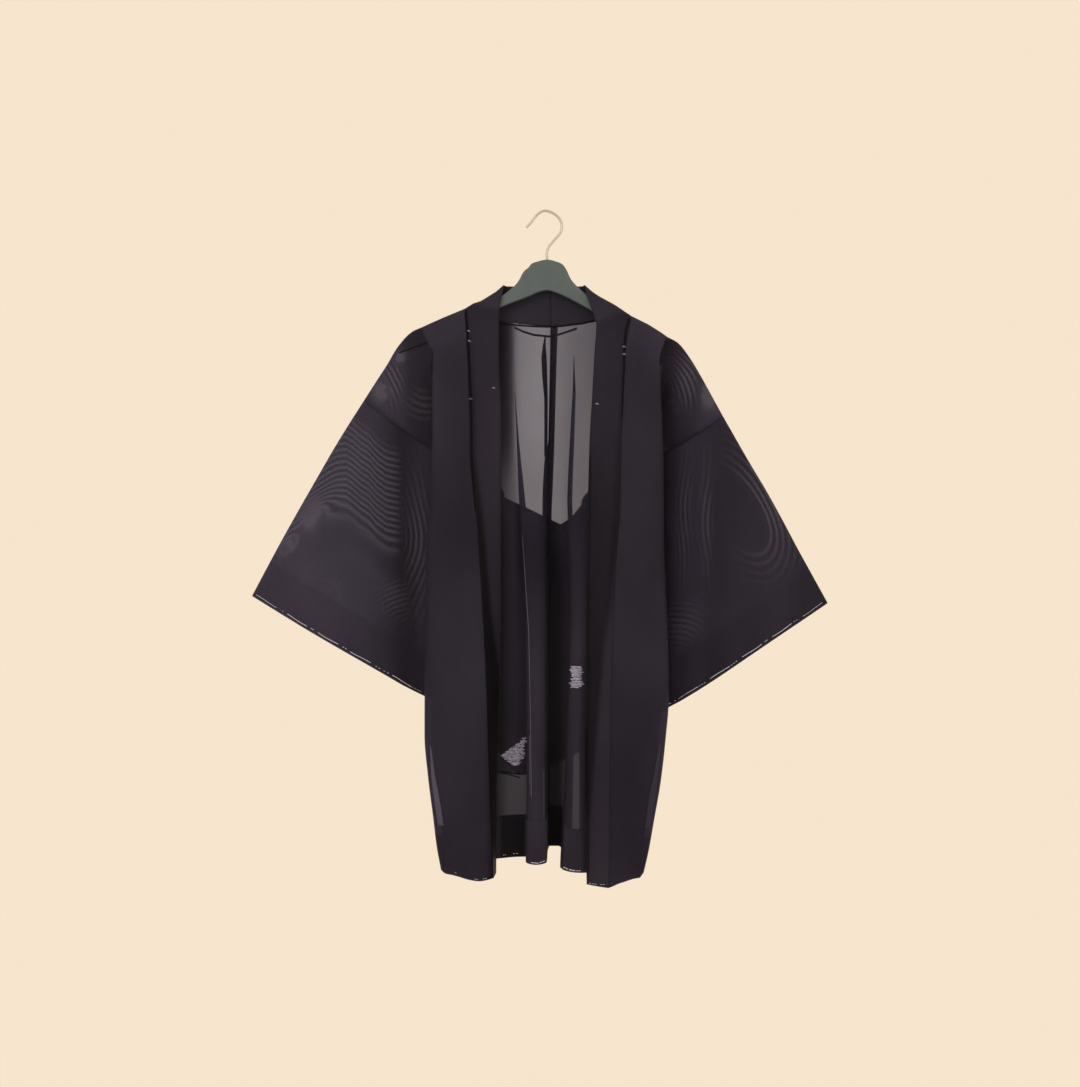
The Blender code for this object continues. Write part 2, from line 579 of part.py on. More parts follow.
def open_seams(side, sheets, centre_back, centre_collar):
    """Draw every seamed edge back by its share of the gap, from the closed seams' points."""
    front, back, sleeve = sheets["front"], sheets["back"], sheets["sleeve"]
    collar, gusset = sheets["collar"], sheets["gusset"]
    upper_rows = len(LAYERS["share"])
    rows = len(front)
    neck = len(side["neck_columns"])
    jobs = []
    # Collar to front.
    collar_front = collar[:rows][::-1]
    jobs.append((front, 0, range(rows), column_of(front, 1), column_of(collar_front, 1)))
    # Sleeve to shoulder extension, both layers.
    count = len(sleeve[0])
    for layer in ("front", "back"):
        sheet = sheets[layer + "_extension"]
        ring = [sleeve[1][i] if layer == "front" else sleeve[1][-i % count] for i in range(upper_rows)]
        jobs.append((sheet, len(sheet[0]) - 1, range(upper_rows - 1), column_of(sheet, -2), ring))
    # Front and back to the gusset.
    last = upper_rows - 1
    for layer, index, beside in (("front", 0, 1), ("back", 4, 3)):
        sheet = sheets[layer]
        inner, outer = column_of(sheet, -2), column_of(gusset, beside)
        first = upper_rows + 1
        beyond = [None] * first + outer
        jobs.append((sheet, len(sheet[0]) - 1, range(first, rows), inner, beyond))
        jobs.append((gusset, index, range(len(gusset)), outer, inner[first:]))
    # The centre back.
    jobs.append((back, 0, range(rows), column_of(back, 1), centre_back))
    moves = []

    def draw_back(sheet, place, index, own, beyond, wall=CLOTH_WALL):
        moves.append((sheet, place, index, trim(sheet[place][index], own, beyond, wall)))

    for sheet, index, places, own, other in jobs:
        for place in places:
            draw_back(sheet, place, index, own[place], other[place])
    # The collar's seam edge on the front and round the neck, and the neckline under it.
    for place, station in enumerate(collar):
        beyond = front[rows - 1 - place][1] if place < rows else back[1][neck - (place - rows) - 1]
        draw_back(collar, place, 0, station[1], beyond, COLLAR_WALL)
    for index in range(neck):
        draw_back(back, 0, index, back[1][index], collar[rows + neck - 1 - index][1], COLLAR_WALL)
    for index in range(len(collar[-1])):
        draw_back(collar, len(collar) - 1, index, collar[-2][index], centre_collar[index], COLLAR_WALL)
    for index in range(last):
        for layer, place in (("front", index), ("back", -index % count)):
            if index or layer == "front":
                draw_back(sleeve, 0, place, sleeve[1][place], sheets[layer + "_extension"][index][-2])
    for place in (last, -last % count):
        along_sleeve = np.array(sleeve[1][place]) - np.array(sleeve[0][place])
        clear = along_sleeve / np.linalg.norm(along_sleeve) * ARMPIT_CLEARANCE
        moves.append((sleeve, 0, place, clear + np.array([0, ARMPIT_CLEARANCE / 2, 0])))
    for sheet, place, index, move in moves:
        sheet[place][index] = tuple(np.array(sheet[place][index], float) + move)


def build_body(name, sheets, material):
    mesh = bmesh.new()
    for key in ("front", "back", "front_extension", "back_extension"):
        add_grid(mesh, sheets[key])
    return finish_cloth(name, mesh, CLOTH_WALL, material)


def build_sleeve(name, sheets, material):
    """A flattened tube, open to the body and at the upper cuff, and closed along the lower cuff."""
    mesh = bmesh.new()
    rows = add_grid(mesh, sheets["sleeve"], closed=True)
    cuff, shares = rows[-1], sheets["ring_shares"]
    count = len(cuff)
    sewn = [i for i, share in enumerate(shares) if share * sheets["cuff_depth"] > CUFF_OPENING]
    for i in sewn[:-1]:
        mesh.faces.new((cuff[i], cuff[i + 1], cuff[-(i + 1) % count], cuff[-i % count]))
    lowest = len(shares)
    mesh.faces.new((cuff[lowest - 1], cuff[lowest], cuff[lowest + 1]))
    return finish_cloth(name, mesh, CLOTH_WALL, material)


def build_strip(name, grid, wall, material):
    mesh = bmesh.new()
    add_grid(mesh, grid)
    return finish_cloth(name, mesh, wall, material)


def hanger_outline():
    """The hanger's outline, its arms following the shoulder folds just under the cloth."""
    arms = []
    for side in (LEFT, RIGHT):
        ridge = side["shoulder"][:-1] + side["extension"][1:2]
        arm = [(x, z - drop) for (x, z), drop in zip(ridge, ARM_DROPS)]
        arm.append((arm[-1][0] - ARM_TIP[0] * side["inward"], arm[-1][1] + ARM_TIP[1]))
        arms.append(arm)
    left, right = arms
    outline = left[::-1] + HANGER_NECK_SIDE_LEFT[::-1] + HANGER_NECK
    return outline + HANGER_NECK_SIDE_RIGHT + right + HANGER_UNDERSIDE


def build_hanger(material):
    """A flat bar with softened edges."""
    points = np.array(hanger_outline(), float)
    ahead, behind = np.roll(points, -1, axis=0), np.roll(points, 1, axis=0)
    tangent = ahead - behind
    tangent /= np.linalg.norm(tangent, axis=1)[:, None]
    inwards = np.stack([tangent[:, 1], -tangent[:, 0]], axis=1)
    mesh = bmesh.new()
    levels = [(-HANGER_HALF, HANGER_EDGE), (-HANGER_HALF + 1, 1.0), (-HANGER_HALF + HANGER_EDGE, 0),
              (HANGER_HALF - HANGER_EDGE, 0), (HANGER_HALF - 1, 1.0), (HANGER_HALF, HANGER_EDGE)]
    rings = []
    for depth, inset in levels:
        placed = points + inwards * inset
        rings.append([mesh.verts.new((x * MM, depth * MM, z * MM)) for x, z in placed])
    for a, b in zip(rings, rings[1:]):
        for i in range(len(a)):
            j = (i + 1) % len(a)
            mesh.faces.new((a[i], a[j], b[j], b[i]))
    mesh.faces.new(rings[0])
    mesh.faces.new(rings[-1][::-1])
    caps = [f for f in mesh.faces if len(f.verts) > 4]
    bmesh.ops.triangulate(mesh, faces=caps, ngon_method="EAR_CLIP")
    bmesh.ops.recalc_face_normals(mesh, faces=mesh.faces)
    data = bpy.data.meshes.new("hanger")
    mesh.to_mesh(data)
    mesh.free()
    data.materials.append(material)
    piece = bpy.data.objects.new("hanger", data)
    bpy.context.scene.collection.objects.link(piece)
    return piece


def build_hook(material):
    """A wire along a smooth curve through the hook's points."""
    curve = bpy.data.curves.new("hook", "CURVE")
    curve.dimensions = "3D"
    spline = curve.splines.new("POLY")
    path = smooth_path(np.array(HOOK_PATH, float), 3)
    spline.points.add(len(path) - 1)
    for point, (x, z) in zip(spline.points, path):
        point.co = (x * MM, 0, z * MM, 1)
    curve.bevel_depth = HOOK_RADIUS * MM
    curve.bevel_resolution = 2
    curve.use_fill_caps = True
    curve.materials.append(material)
    piece = bpy.data.objects.new("hook", curve)
    bpy.context.scene.collection.objects.link(piece)
    return piece


def smooth_path(points, steps):
    """A Catmull-Rom curve through points."""
    padded = np.vstack([2 * points[0] - points[1], points, 2 * points[-1] - points[-2]])
    result = []
    for a, b, c, d in zip(padded, padded[1:], padded[2:], padded[3:]):
        for step in range(steps):
            t = step / steps
            result.append(0.5 * (2 * b + (c - a) * t + (2 * a - 5 * b + 4 * c - d) * t ** 2
                                 + (3 * b - a - 3 * c + d) * t ** 3))
    result.append(points[-1])
    return result


def main():
    for existing in list(bpy.data.objects):
        bpy.data.objects.remove(existing)
    silk = make_material("silk_gauze", (0.032, 0.024, 0.034), 0.6)
    band = make_material("collar_silk", (0.026, 0.019, 0.026), 0.6)
    lacquer = make_material("hanger_grey", (0.09, 0.12, 0.12), 0.4)
    steel = make_material("hook_wire", (0.62, 0.58, 0.52), 0.25, 1.0)

    sides = {"left": (LEFT, make_side(LEFT)), "right": (RIGHT, make_side(RIGHT))}
    centre = {name: column_of(sheets["back"], 1) for name, (_, sheets) in sides.items()}
    collar_end = {name: list(sheets["collar"][-2]) for name, (_, sheets) in sides.items()}
    other = {"left": "right", "right": "left"}
    for name, (side, sheets) in sides.items():
        open_seams(side, sheets, centre[other[name]], collar_end[other[name]])
    for name, (side, sheets) in sides.items():
        build_body("body_" + name, sheets, silk)
        build_sleeve("sleeve_" + name, sheets, silk)
        build_strip("gusset_" + name, sheets["gusset"], CLOTH_WALL, silk)
        build_strip("collar_" + name, sheets["collar"], COLLAR_WALL, band)
    build_hanger(lacquer)
    build_hook(steel)


main()
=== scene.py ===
"""A sheer, unlined summer haori jacket on a plain clothes hanger: the looks over its CAD frame.

Lengths in the tables are millimetres: X to the right as seen from the front, Y to the back, Z up.
Left and right are as seen from the front. Each cloth piece is a grid of points on the same form as
its solid, refined on monotone curves, with small creases placed one by one.
"""

import math

import bmesh
import bpy
import numpy as np
from mathutils.bvhtree import BVHTree
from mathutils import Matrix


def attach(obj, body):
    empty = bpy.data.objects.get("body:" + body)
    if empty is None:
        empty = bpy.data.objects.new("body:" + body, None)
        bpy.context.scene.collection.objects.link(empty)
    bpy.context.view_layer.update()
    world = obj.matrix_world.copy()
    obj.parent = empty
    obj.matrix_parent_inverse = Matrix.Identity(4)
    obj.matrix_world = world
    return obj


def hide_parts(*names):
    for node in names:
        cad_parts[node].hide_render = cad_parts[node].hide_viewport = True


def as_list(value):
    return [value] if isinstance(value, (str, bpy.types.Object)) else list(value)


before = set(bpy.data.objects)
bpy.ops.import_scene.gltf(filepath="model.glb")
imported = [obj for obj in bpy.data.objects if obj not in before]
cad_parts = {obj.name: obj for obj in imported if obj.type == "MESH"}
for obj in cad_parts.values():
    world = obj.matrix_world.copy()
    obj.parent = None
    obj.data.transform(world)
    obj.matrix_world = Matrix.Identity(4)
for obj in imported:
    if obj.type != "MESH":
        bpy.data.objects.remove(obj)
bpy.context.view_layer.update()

MM = 0.001
# The walls of the silk and the collar, and how near points have to lie to be joined.
SHELL = 0.5
COLLAR_WALL = 1.0
WELD = 0.02
NEAR = 1e-6
# Half the gap between a sleeve's layers, its limit at the armhole, and how far its lower edge bulges.
LAYER_HALF_GAP = 5.0
HALF_LIMIT = 6.0
LOWER_EDGE = 0.8
CORNER_RADIUS = 45.0
# A fold's radius, and the most of its return's width that it takes.
FOLD_RADIUS = 6.0
FOLD_SHARE = 0.33
# How the layers meet at the armpit.
ARMPIT_PINCH = 4.0
ARMPIT_STEP = 3.0
ARMPIT_WRAP = 0.59
# What lies before this depth is the front.
FRONT_LIMIT = 4.0
# Depths of each panel's fold and return below the armpit.
LOWER_DEPTHS = {"front": (-30.0, 0.0), "back": (-20.0, -10.0)}

# How each layer's depth grows from the shoulder fold (share 0) down to the armpit (share 1).
LAYERS = {
    "share": [0, .012, .036, .071, .124, .201, .29, .373, .467, .574, .716, .858, 1],
    "front": [0, -5.5, -7.5, -8.5, -9.0, -9.5, -19, -23, -26, -28, -30, -30, -30],
    "front_return": [0, -5.5, -7.5, -8.5, -9.0, -9.5, -7, -5, -3, -1.5, 0, 0, 0],
    "back": [0, 5.5, 7.5, 8.5, 9.0, 6.0, -12, -15, -18, -19.5, -20, -20, -20],
    "back_return": [0, 5.5, 7.5, 8.5, 9.0, 6.0, -9, -10, -10.5, -10.5, -10, -10, -10],
    "sleeve_half": [0, 5.5, 7.5, 8.5, 9.0, 7.2, 5.5, 5, 5, 5, 5, 5, 5],
    "sleeve_share": [0, 0, 0, 0, 0, .07, .18, .38, .57, .76, .92, .98, 1],
}
# Heights of the rows from the armpit (0) to the hem (1).
LOWER_ROWS = [.03, .06, .12, .21, .31, .42, .53, .64, .75, .86, .94, 1]
# Where the front's flat part has its columns, from the collar seam (0) to the outer fold (1).
PANEL_COLUMNS = [0, .14, .32, .5, .68, .85, 1]
# Where the shoulder beyond the panel, the sleeve and its open body side have theirs.
EXTENSION_COLUMNS = [.12, .34, .56, .78, 1]
SLEEVE_STEPS = [0, .1, .24, .4, .56, .72, .857, .93, .975, 1]
FURI_STEPS = [.12, .3, .5, .7, .87, 1]
# Rows that lie on the shoulder fold itself.
TOP_ROWS = 3
# The collar: its roll, its lean and dip at the back neck, and how it turns over the shoulder.
COLLAR_ROLL = 1.5
COLLAR_LEAN = 1.0
COLLAR_DIP = 2.0
COLLAR_TURN = 90.0
COLLAR_FALL = 1.55
# How fast the shoulder's bend fades out below it, and the gusset's form between its two edges.
BEND_FADE = 4.0
GUSSET_REACH = .6
GUSSET_CURVE = .15

# The heights at which the lines down the back panel are given.
BACK_LEVELS = [-152, -188, -251, -320, -400, -547, -688, -919]


def line_down(neck_z, collar_x, hem_z, x, y, top_y=()):
    """A line down the back: heights at neck and hem, place on the collar, and x and y at BACK_LEVELS."""
    return {"neck_z": neck_z, "collar_x": collar_x, "hem_z": hem_z, "x": x, "y": y, "top_y": top_y}


SEAM_COLUMN = line_down(-161, 9, -898, [9, 9, 8, 7, 5, 4, 4, 3], [9, 8.5, 4, -2, -8, -12, -14, -17])

# In neck_columns, fold1 and fold2 are the back's two deep folds. They double back on themselves.
LEFT = {
    "inward": 1,
    "shoulder": [(-111, -136), (-140, -148), (-167, -160), (-171, -162)],
    "extension": [(-171, -162), (-191, -171), (-202, -182), (-208, -193), (-229, -227), (-245, -250),
                  (-255, -266)],
    "armhole": [(-255, -266), (-238, -279), (-182, -320), (-159, -334), (-63, -400)],
    "furi": [(-63, -400), (-26, -416), (22, -440), (173, -512)],
    "sleeve_top": [(-255, -266), (-287, -317), (-339, -407), (-377, -475), (-412, -541)],
    "cuff": [(-412, -541), (-336, -588), (-259, -633), (-180, -680), (8, -757), (39, -775)],
    "sleeve_depth": 17,
    "sleeve_free_x": -302,
    "sleeve_behind_x": -161,
    "zfold": {
        "front_fold": [-171.3, -169.9, -167.1, -162.9, -158.6, -157.2, -157.2, -157.2, -157.2, -157.2, -157.9,
                       -158.6, -158.6],
        "front_crease": [-171.3, -169.9, -167.1, -162.9, -158.6, -157.2, -157.2, -144.5, -133.2, -122, -107.9,
                         -89.5, -62.7],
        "back_fold": [-171.3, -169.9, -167.1, -162.9, -158.6, -151.6, -147.3, -147.3, -147.3, -147.3, -148.8,
                      -149.5, -150.2],
        "back_crease": [-171.3, -169.9, -167.1, -162.9, -158.6, -151.6, -147.3, -136.1, -124.8, -112.8, -98,
                        -79.7, -56.4],
    },
    "side": {
        "z": [-400, -423, -462, -547, -632, -688, -744, -801, -847, -893, -931],
        "front_fold": [-159, -159, -166, -166, -167, -168, -168, -163, -157, -152, -145],
        "back_fold": [-150, -150, -153, -154, -156, -157, -157, -152, -146, -140, -133],
        "seam": [-63, -68, -75, -82, -88, -91, -94, -97, -99, -102, -104],
        "gusset": [3, 5, 8, 12, 15, 17, 19, 22, 25, 27, 29],
    },
    "collar_seam": {
        "z": [-137, -171, -202, -223, -265, -348, -423, -491, -560, -657, -754, -818, -928],
        "x": [-111, -108, -106, -105, -103, -102, -95, -90, -86, -81, -78, -75, -71],
        "y": [-8, -9, -10, -13, -17, -27, -36, -40, -44, -48, -53, -55, -58],
    },
    "collar_edge": {
        "z": [-103, -124, -142, -221, -272, -348, -423, -491, -592, -688, -787, -928],
        "x": [-57, -61, -64, -64, -61, -61, -61, -61, -62, -63, -67, -68],
        "y": [-7, -9.5, -10, -8, -9, -15, -18, -18, -18, -18, -18, -18],
    },
    "front_hem": {"share": [0, .2, .4, .8, 1], "z": [-928.5, -933, -934.5, -929.5, -927], "return_z": -924},
    "neck_columns": {
        "fold1_right": line_down(
            -160, 4, -912, [4, 3, 2, 2, 2, 1.5, 1.5, 2], [9, 8.5, 1, -5, -12, -18, -22, -27]),
        "fold1_crest": line_down(
            -159, -12, -915, [-13, -15, -16, -16, -15, -12, -11, -12], [9, 8.5, 2, -5, -13, -20, -25, -30]),
        "fold1_left": line_down(
            -157, -27, -912, [-33, -37, -42, -39, -36, -27, -25, -25], [9, 8.5, 3, -4, -11, -16, -20, -25]),
        "fold1_lip": line_down(
            -157, -28, -911, [-34, -37.5, -41.9, -38.4, -33.5, -24, -22, -22],
            [9, 8.6, 4, -2, -8.5, -12.5, -15, -18]),
        "fold1_turn": line_down(
            -157, -29, -910, [-34.5, -38, -41.7, -36.5, -28, -12, -3, -2],
            [9, 8.7, 4.6, -.5, -5.5, -8.5, -10, -12]),
        "fold1_fall": line_down(
            -157, -30, -909, [-35, -39, -42.2, -37.5, -30, -14, -6, -5], [9, 8.8, 5.4, 1, -3, -5, -6, -7]),
        "fold1_under": line_down(
            -156, -32, -908, [-37, -42, -46, -42, -37, -27, -24, -24],
            [9, 8.9, 5.8, 1.6, -3.4, -3.6, -4, -4.6]),
        "valley": line_down(
            -155, -39, -908, [-46, -50, -53, -49, -44, -36, -35, -36], [9, 8.5, 6, 1, -6, -5, -5, -5]),
        "shade": line_down(
            -153, -47, -909, [-60, -61, -63, -61, -59, -63, -66, -66], [9, 8.5, 5, -5, -14, -14, -14, -14]),
        "inner": line_down(
            -149, -52, -911, [-80, -80, -80, -80, -82, -87, -92, -91], [9, 8.5, 1, -14, -19, -20, -20, -20]),
        "blade": line_down(
            -145, -54, -913, [-97, -95, -95, -95, -97, -102, -106, -104],
            [8.5, 8.5, 0, -17, -20, -20, -20, -20]),
        "turn": line_down(
            -139.5, -56, -915, [-109, -106, -105, -105, -108, -112, -115, -112],
            [8.5, 8.5, -1, -19, -20, -20, -20, -20], [5.8, 7.2, 8.2]),
        "neck": line_down(
            -136, -57, -916, [-111, -110, -111, -112, -114, -118, -121, -117],
            [8, 8.5, -2, -19, -20, -20, -20, -20], [0, 5.5, 7.5, 8.3]),
    },
    "collar_top_z": -103,
    "back_hem_fold_z": -916,
}

RIGHT = {
    "inward": -1,
    "shoulder": [(121, -146), (147, -159), (166, -171), (172.7, -176)],
    "extension": [(172.7, -176), (185, -182), (198, -193), (204, -204), (211, -216), (218, -227), (231, -250),
                  (243, -272), (252, -288)],
    "armhole": [(252, -288), (232, -302), (203, -321), (181, -332), (58.5, -410)],
    "furi": [(58.5, -410), (39, -430), (22, -440), (-167, -536)],
    "sleeve_top": [(252, -288), (281, -340), (321, -407), (357, -475), (399, -551)],
    "cuff": [(399, -551), (343, -589), (276, -634.5), (207, -683), (176, -702.5), (-26, -804), (-46, -800)],
    "sleeve_depth": 39,
    "sleeve_free_x": 276,
    "sleeve_behind_x": 149,
    "zfold": {
        "front_fold": [172.7, 171.7, 169.9, 167.1, 163.6, 162.1, 162.1, 162.9, 164.3, 165.7, 166.4, 166.7,
                       166.7],
        "front_crease": [172.7, 171.7, 169.9, 167.1, 163.6, 162.1, 162.1, 150.2, 138.9, 127.6, 110.7, 88.1,
                         58.5],
        "back_fold": [172.7, 171.7, 169.9, 167.1, 163.6, 157.2, 153, 153, 154.4, 155.8, 157.2, 157.9, 158.2],
        "back_crease": [172.7, 171.7, 169.9, 167.1, 163.6, 157.2, 153, 141.7, 130.4, 117.7, 99.4, 78.3, 52.2],
    },
    "side": {
        "z": [-410, -423, -462, -547, -592, -695, -744, -801, -847, -893, -938],
        "front_fold": [167, 167, 167, 170, 173, 174, 170, 164, 156, 149, 139],
        "back_fold": [158, 158, 157, 160, 163, 164, 160, 154, 146, 139, 129],
        "seam": [59, 64, 70, 77, 80, 85, 88, 91, 92, 94, 95],
        "gusset": [3, 5, 8, 12, 15, 18, 20, 23, 25, 27, 29],
    },
    "collar_seam": {
        "z": [-146, -179, -202, -223, -272, -321, -423, -491, -603, -688, -759, -942],
        "x": [121, 116, 112, 111, 110, 107, 105, 99, 94, 91, 90, 88],
        "y": [-8, -9, -10, -13, -17, -25, -36, -40, -45, -49, -53, -58],
    },
    "collar_edge": {
        "z": [-103, -124, -140, -159, -202, -259, -323, -372, -462, -592, -688, -787, -945],
        "x": [56, 61, 67, 73, 70, 67, 63, 62, 61, 60, 58, 56, 59],
        "y": [-7, -9.5, -10, -10, -9, -11, -17, -20, -25, -27, -29, -31, -31],
    },
    "front_hem": {"share": [0, .3, .6, .8, 1], "z": [-942, -937.5, -935.5, -934, -933], "return_z": -928},
    "neck_columns": {
        "notch_in": line_down(-161, 14, -893, [14, 14, 12, 10, 9, 8, 7, 6], [9, 8.5, 5, -1, -6, -5, -4, -3]),
        "notch_out": line_down(
            -160, 26, -893, [29, 26, 25, 24, 24, 24, 21, 20], [9, 8.5, 6, 1, -4, -3, -3, -3]),
        "fold2_under": line_down(
            -159, 35, -902, [40, 39, 37, 35, 33.5, 40, 37, 29], [9, 8.9, 5.8, 1.8, -3, -4, -4, -4.4]),
        "fold2_fall": line_down(
            -159, 35.6, -904, [41, 40, 43, 41, 37.5, 42, 40, 35], [9, 8.8, 5.2, .6, -4.2, -6, -7, -8]),
        "fold2_turn": line_down(
            -158.6, 36, -907, [42, 41, 44, 42, 38.6, 43, 42, 37.5], [9, 8.7, 4.4, -1, -6.4, -9, -11, -13]),
        "fold2_lip": line_down(
            -158.3, 36.5, -911, [43, 41.5, 41, 38, 34.5, 38.5, 36, 26.5],
            [9, 8.6, 3, -2.6, -8, -12, -15, -19]),
        "fold2_left": line_down(
            -158, 37, -920, [44, 42, 40, 36, 32, 36, 33, 23], [9, 8.5, 2, -4, -9, -14, -18, -22]),
        "fold2_crest": line_down(
            -158, 40, -926.5, [50, 49, 49, 47, 46, 47, 46, 43], [9, 8.5, 0, -6, -13, -19, -22, -26]),
        "fold2_right": line_down(
            -155, 47, -927.5, [64, 63, 61, 60, 60, 61, 61, 61], [9, 8.5, 1, -8, -15, -18, -19, -21]),
        "inner": line_down(
            -152, 51, -926, [92, 88, 85, 82, 80, 82, 84, 86], [9, 8.5, -3, -15, -20, -20, -20, -20]),
        "blade": line_down(
            -151, 54, -922, [108, 105, 104, 102, 101, 103, 104, 100],
            [8.5, 8.5, -5, -18, -20, -20, -20, -20]),
        "turn": line_down(
            -149, 55, -923, [119, 117, 116, 116, 116, 118, 118, 108], [8.5, 8.5, -6, -20, -20, -20, -20, -20],
            [5.8, 7.2, 8.2]),
        "neck": line_down(
            -146, 56, -923, [121, 122, 123, 124, 125, 127, 127, 114], [8, 8.5, -6, -20, -20, -20, -20, -20],
            [0, 5.5, 7.5, 8.3]),
    },
    "collar_top_z": -103,
    "back_hem_fold_z": -923,
}

# The hanger: half its thickness, and its outline from the neck over the arms and back.
HANGER_HALF = 4.6
ARM_DROPS = [3.0, 2.3, 3.0, 6.0]
ARM_TIP = (9, -11)
HANGER_NECK = [(-22.5, -78.5), (-18.5, -73.6), (-10, -70.2), (4, -67.5), (16, -70), (24.5, -73.6),
               (29, -78.5)]
HANGER_NECK_SIDE_LEFT = [(-29, -84), (-37, -98), (-44, -106), (-57, -116), (-84, -129)]
HANGER_NECK_SIDE_RIGHT = [(38, -96), (46, -105), (60, -117), (86, -134)]
HANGER_UNDERSIDE = [(188, -205), (150, -187), (66, -139), (10, -112), (1, -111), (-26, -121), (-60, -134),
                    (-150, -176), (-191, -196)]
HOOK_RADIUS = 1.75
HOOK_PATH = [(3.7, -66.7), (3.4, -57), (5.5, -50.6), (10.2, -43.7), (14.5, -38.9), (20.1, -32.4),
             (23.6, -26.4), (24.4, -20.3), (23.1, -13.4), (18.9, -7), (13.7, -2.8), (6.8, .6), (-.2, 1.7),
             (-7.1, -1.4), (-13.1, -7), (-18.3, -14), (-25.5, -22)]


def smooth(share):
    """An even start and stop between 0 and 1."""
    share = min(max(share, 0.0), 1.0)
    return share * share * (3 - 2 * share)


def lookup(keys, values, key):
    """A value between the rows of a table, whose keys rise or fall."""
    if keys[0] > keys[-1]:
        keys, values = keys[::-1], values[::-1]
    return float(np.interp(key, keys, values))


def along(line, share):
    """The point at a share of the length of a line of (x, z) points."""
    points = np.array(line, float)
    lengths = np.concatenate([[0], np.cumsum(np.linalg.norm(np.diff(points, axis=0), axis=1))])
    place = share * lengths[-1]
    return np.array([np.interp(place, lengths, points[:, 0]), np.interp(place, lengths, points[:, 1])])


def line_length(line):
    return float(np.sum(np.linalg.norm(np.diff(np.array(line, float), axis=0), axis=1)))


def sleeve_middle(side, x):
    """Depth of the middle of a sleeve: free beside the body, then behind it."""
    free, behind = side["sleeve_free_x"], side["sleeve_behind_x"]
    return side["sleeve_depth"] * smooth((x - free) / (behind - free))


def fold_points(x_fold, depth_a, depth_b, reach):
    """Three points round a fold, whose sides lie at two depths."""
    middle, half = (depth_a + depth_b) / 2, (depth_b - depth_a) / 2
    angles = [math.radians(a) for a in (45, 90, 135)]
    return [(x_fold + reach * (1 - math.sin(a)), middle - half * math.cos(a)) for a in angles]


def hanging_section(side, layer, row, level):
    """Fold, return and end of a layer at one height, as (x, y) points from the panel outwards.

    Above the armpit the layer ends on the crease where the shoulder extension starts, and below
    it at the gusset's seam."""
    inward = side["inward"]
    last = len(LAYERS["share"]) - 1
    if row <= last:
        depth, back_depth = LAYERS[layer][row], LAYERS[layer + "_return"][row]
        x_fold, x_end = (side["zfold"][layer + edge][row] for edge in ("_fold", "_crease"))
        sleeve = side["sleeve_depth"] * LAYERS["sleeve_share"][row]
        half = LAYERS["sleeve_half"][row] * (-1 if layer == "front" else 1)
        wrap = ARMPIT_WRAP if layer == "back" and row == last else 0.5
        end_depth = back_depth + (sleeve + half - back_depth) * wrap
        if x_end == x_fold:
            end_depth = back_depth
        reach = inward * min(FOLD_RADIUS, FOLD_SHARE * abs(x_end - x_fold))
    else:
        depth, back_depth = LOWER_DEPTHS[layer]
        table = side["side"]
        x_fold, x_end = (lookup(table["z"], table[edge], level) for edge in (layer + "_fold", "seam"))
        end_depth = back_depth
        reach = inward * FOLD_RADIUS
    return [(x_fold + reach, depth), *fold_points(x_fold, depth, back_depth, reach),
            (x_fold + reach, back_depth), ((x_fold + x_end) / 2, back_depth),
            (x_end - reach, back_depth), (x_end, end_depth)]


def row_shares():
    """Every row from the shoulder to the hem, as (row, share above, share below) of the armpit."""
    rows = [(i, share, 0.0) for i, share in enumerate(LAYERS["share"])]
    rows += [(len(rows) + i, 1.0, share) for i, share in enumerate(LOWER_ROWS)]
    return rows


def height(top, armpit, hem, share_above, share_below):
    return top + (armpit - top) * share_above + (hem - armpit) * share_below


def ridge_bend(side, column, above):
    """How far a column's top lies from its even place on the shoulder, fading out below it."""
    start, stop = side["shoulder"][0][0], side["shoulder"][-1][0]
    even = start + (stop - start) * column
    return (along(side["shoulder"], column)[0] - even) * (1 - smooth(above * BEND_FADE))


def front_sheet(side):
    """The front from the collar seam to the outer fold, and its return behind the back."""
    armpit, top_z = side["armhole"][-1][1], side["shoulder"][-1][1]
    hem, seam = side["front_hem"], side["collar_seam"]
    grid = []
    for row, above, below in row_shares():
        level = height(top_z, armpit, side["side"]["z"][-1], above, below)
        (fold_x, fold_y), *rest = hanging_section(side, "front", row, level)
        points = []
        for column in PANEL_COLUMNS:
            top = along(side["shoulder"], column)
            z = height(top[1], armpit, lookup(hem["share"], hem["z"], column), above, below)
            seam_x, seam_y = (lookup(seam["z"], seam[axis], z) for axis in "xy")
            if row < TOP_ROWS:
                seam_x, seam_y = side["shoulder"][0][0], LAYERS["front"][row]
            x = seam_x + (fold_x - seam_x) * column + ridge_bend(side, column, above)
            points.append((x, seam_y + (fold_y - seam_y) * smooth(column), z))
        z = height(top_z, armpit, hem["return_z"], above, below)
        grid.append(points + [(x, y, z) for x, y in rest])
    return grid


def at_level(line, z):
    return lookup(BACK_LEVELS, line["x"], z), lookup(BACK_LEVELS, line["y"], z)


def back_point(line, armpit, row, above, below):
    """A point of the back panel, whose lines beside the shoulder start on top of the hanger."""
    z = height(line["neck_z"], armpit, line["hem_z"], above, below)
    x, y = at_level(line, z)
    return x, line["top_y"][row] if row < len(line["top_y"]) else y, z


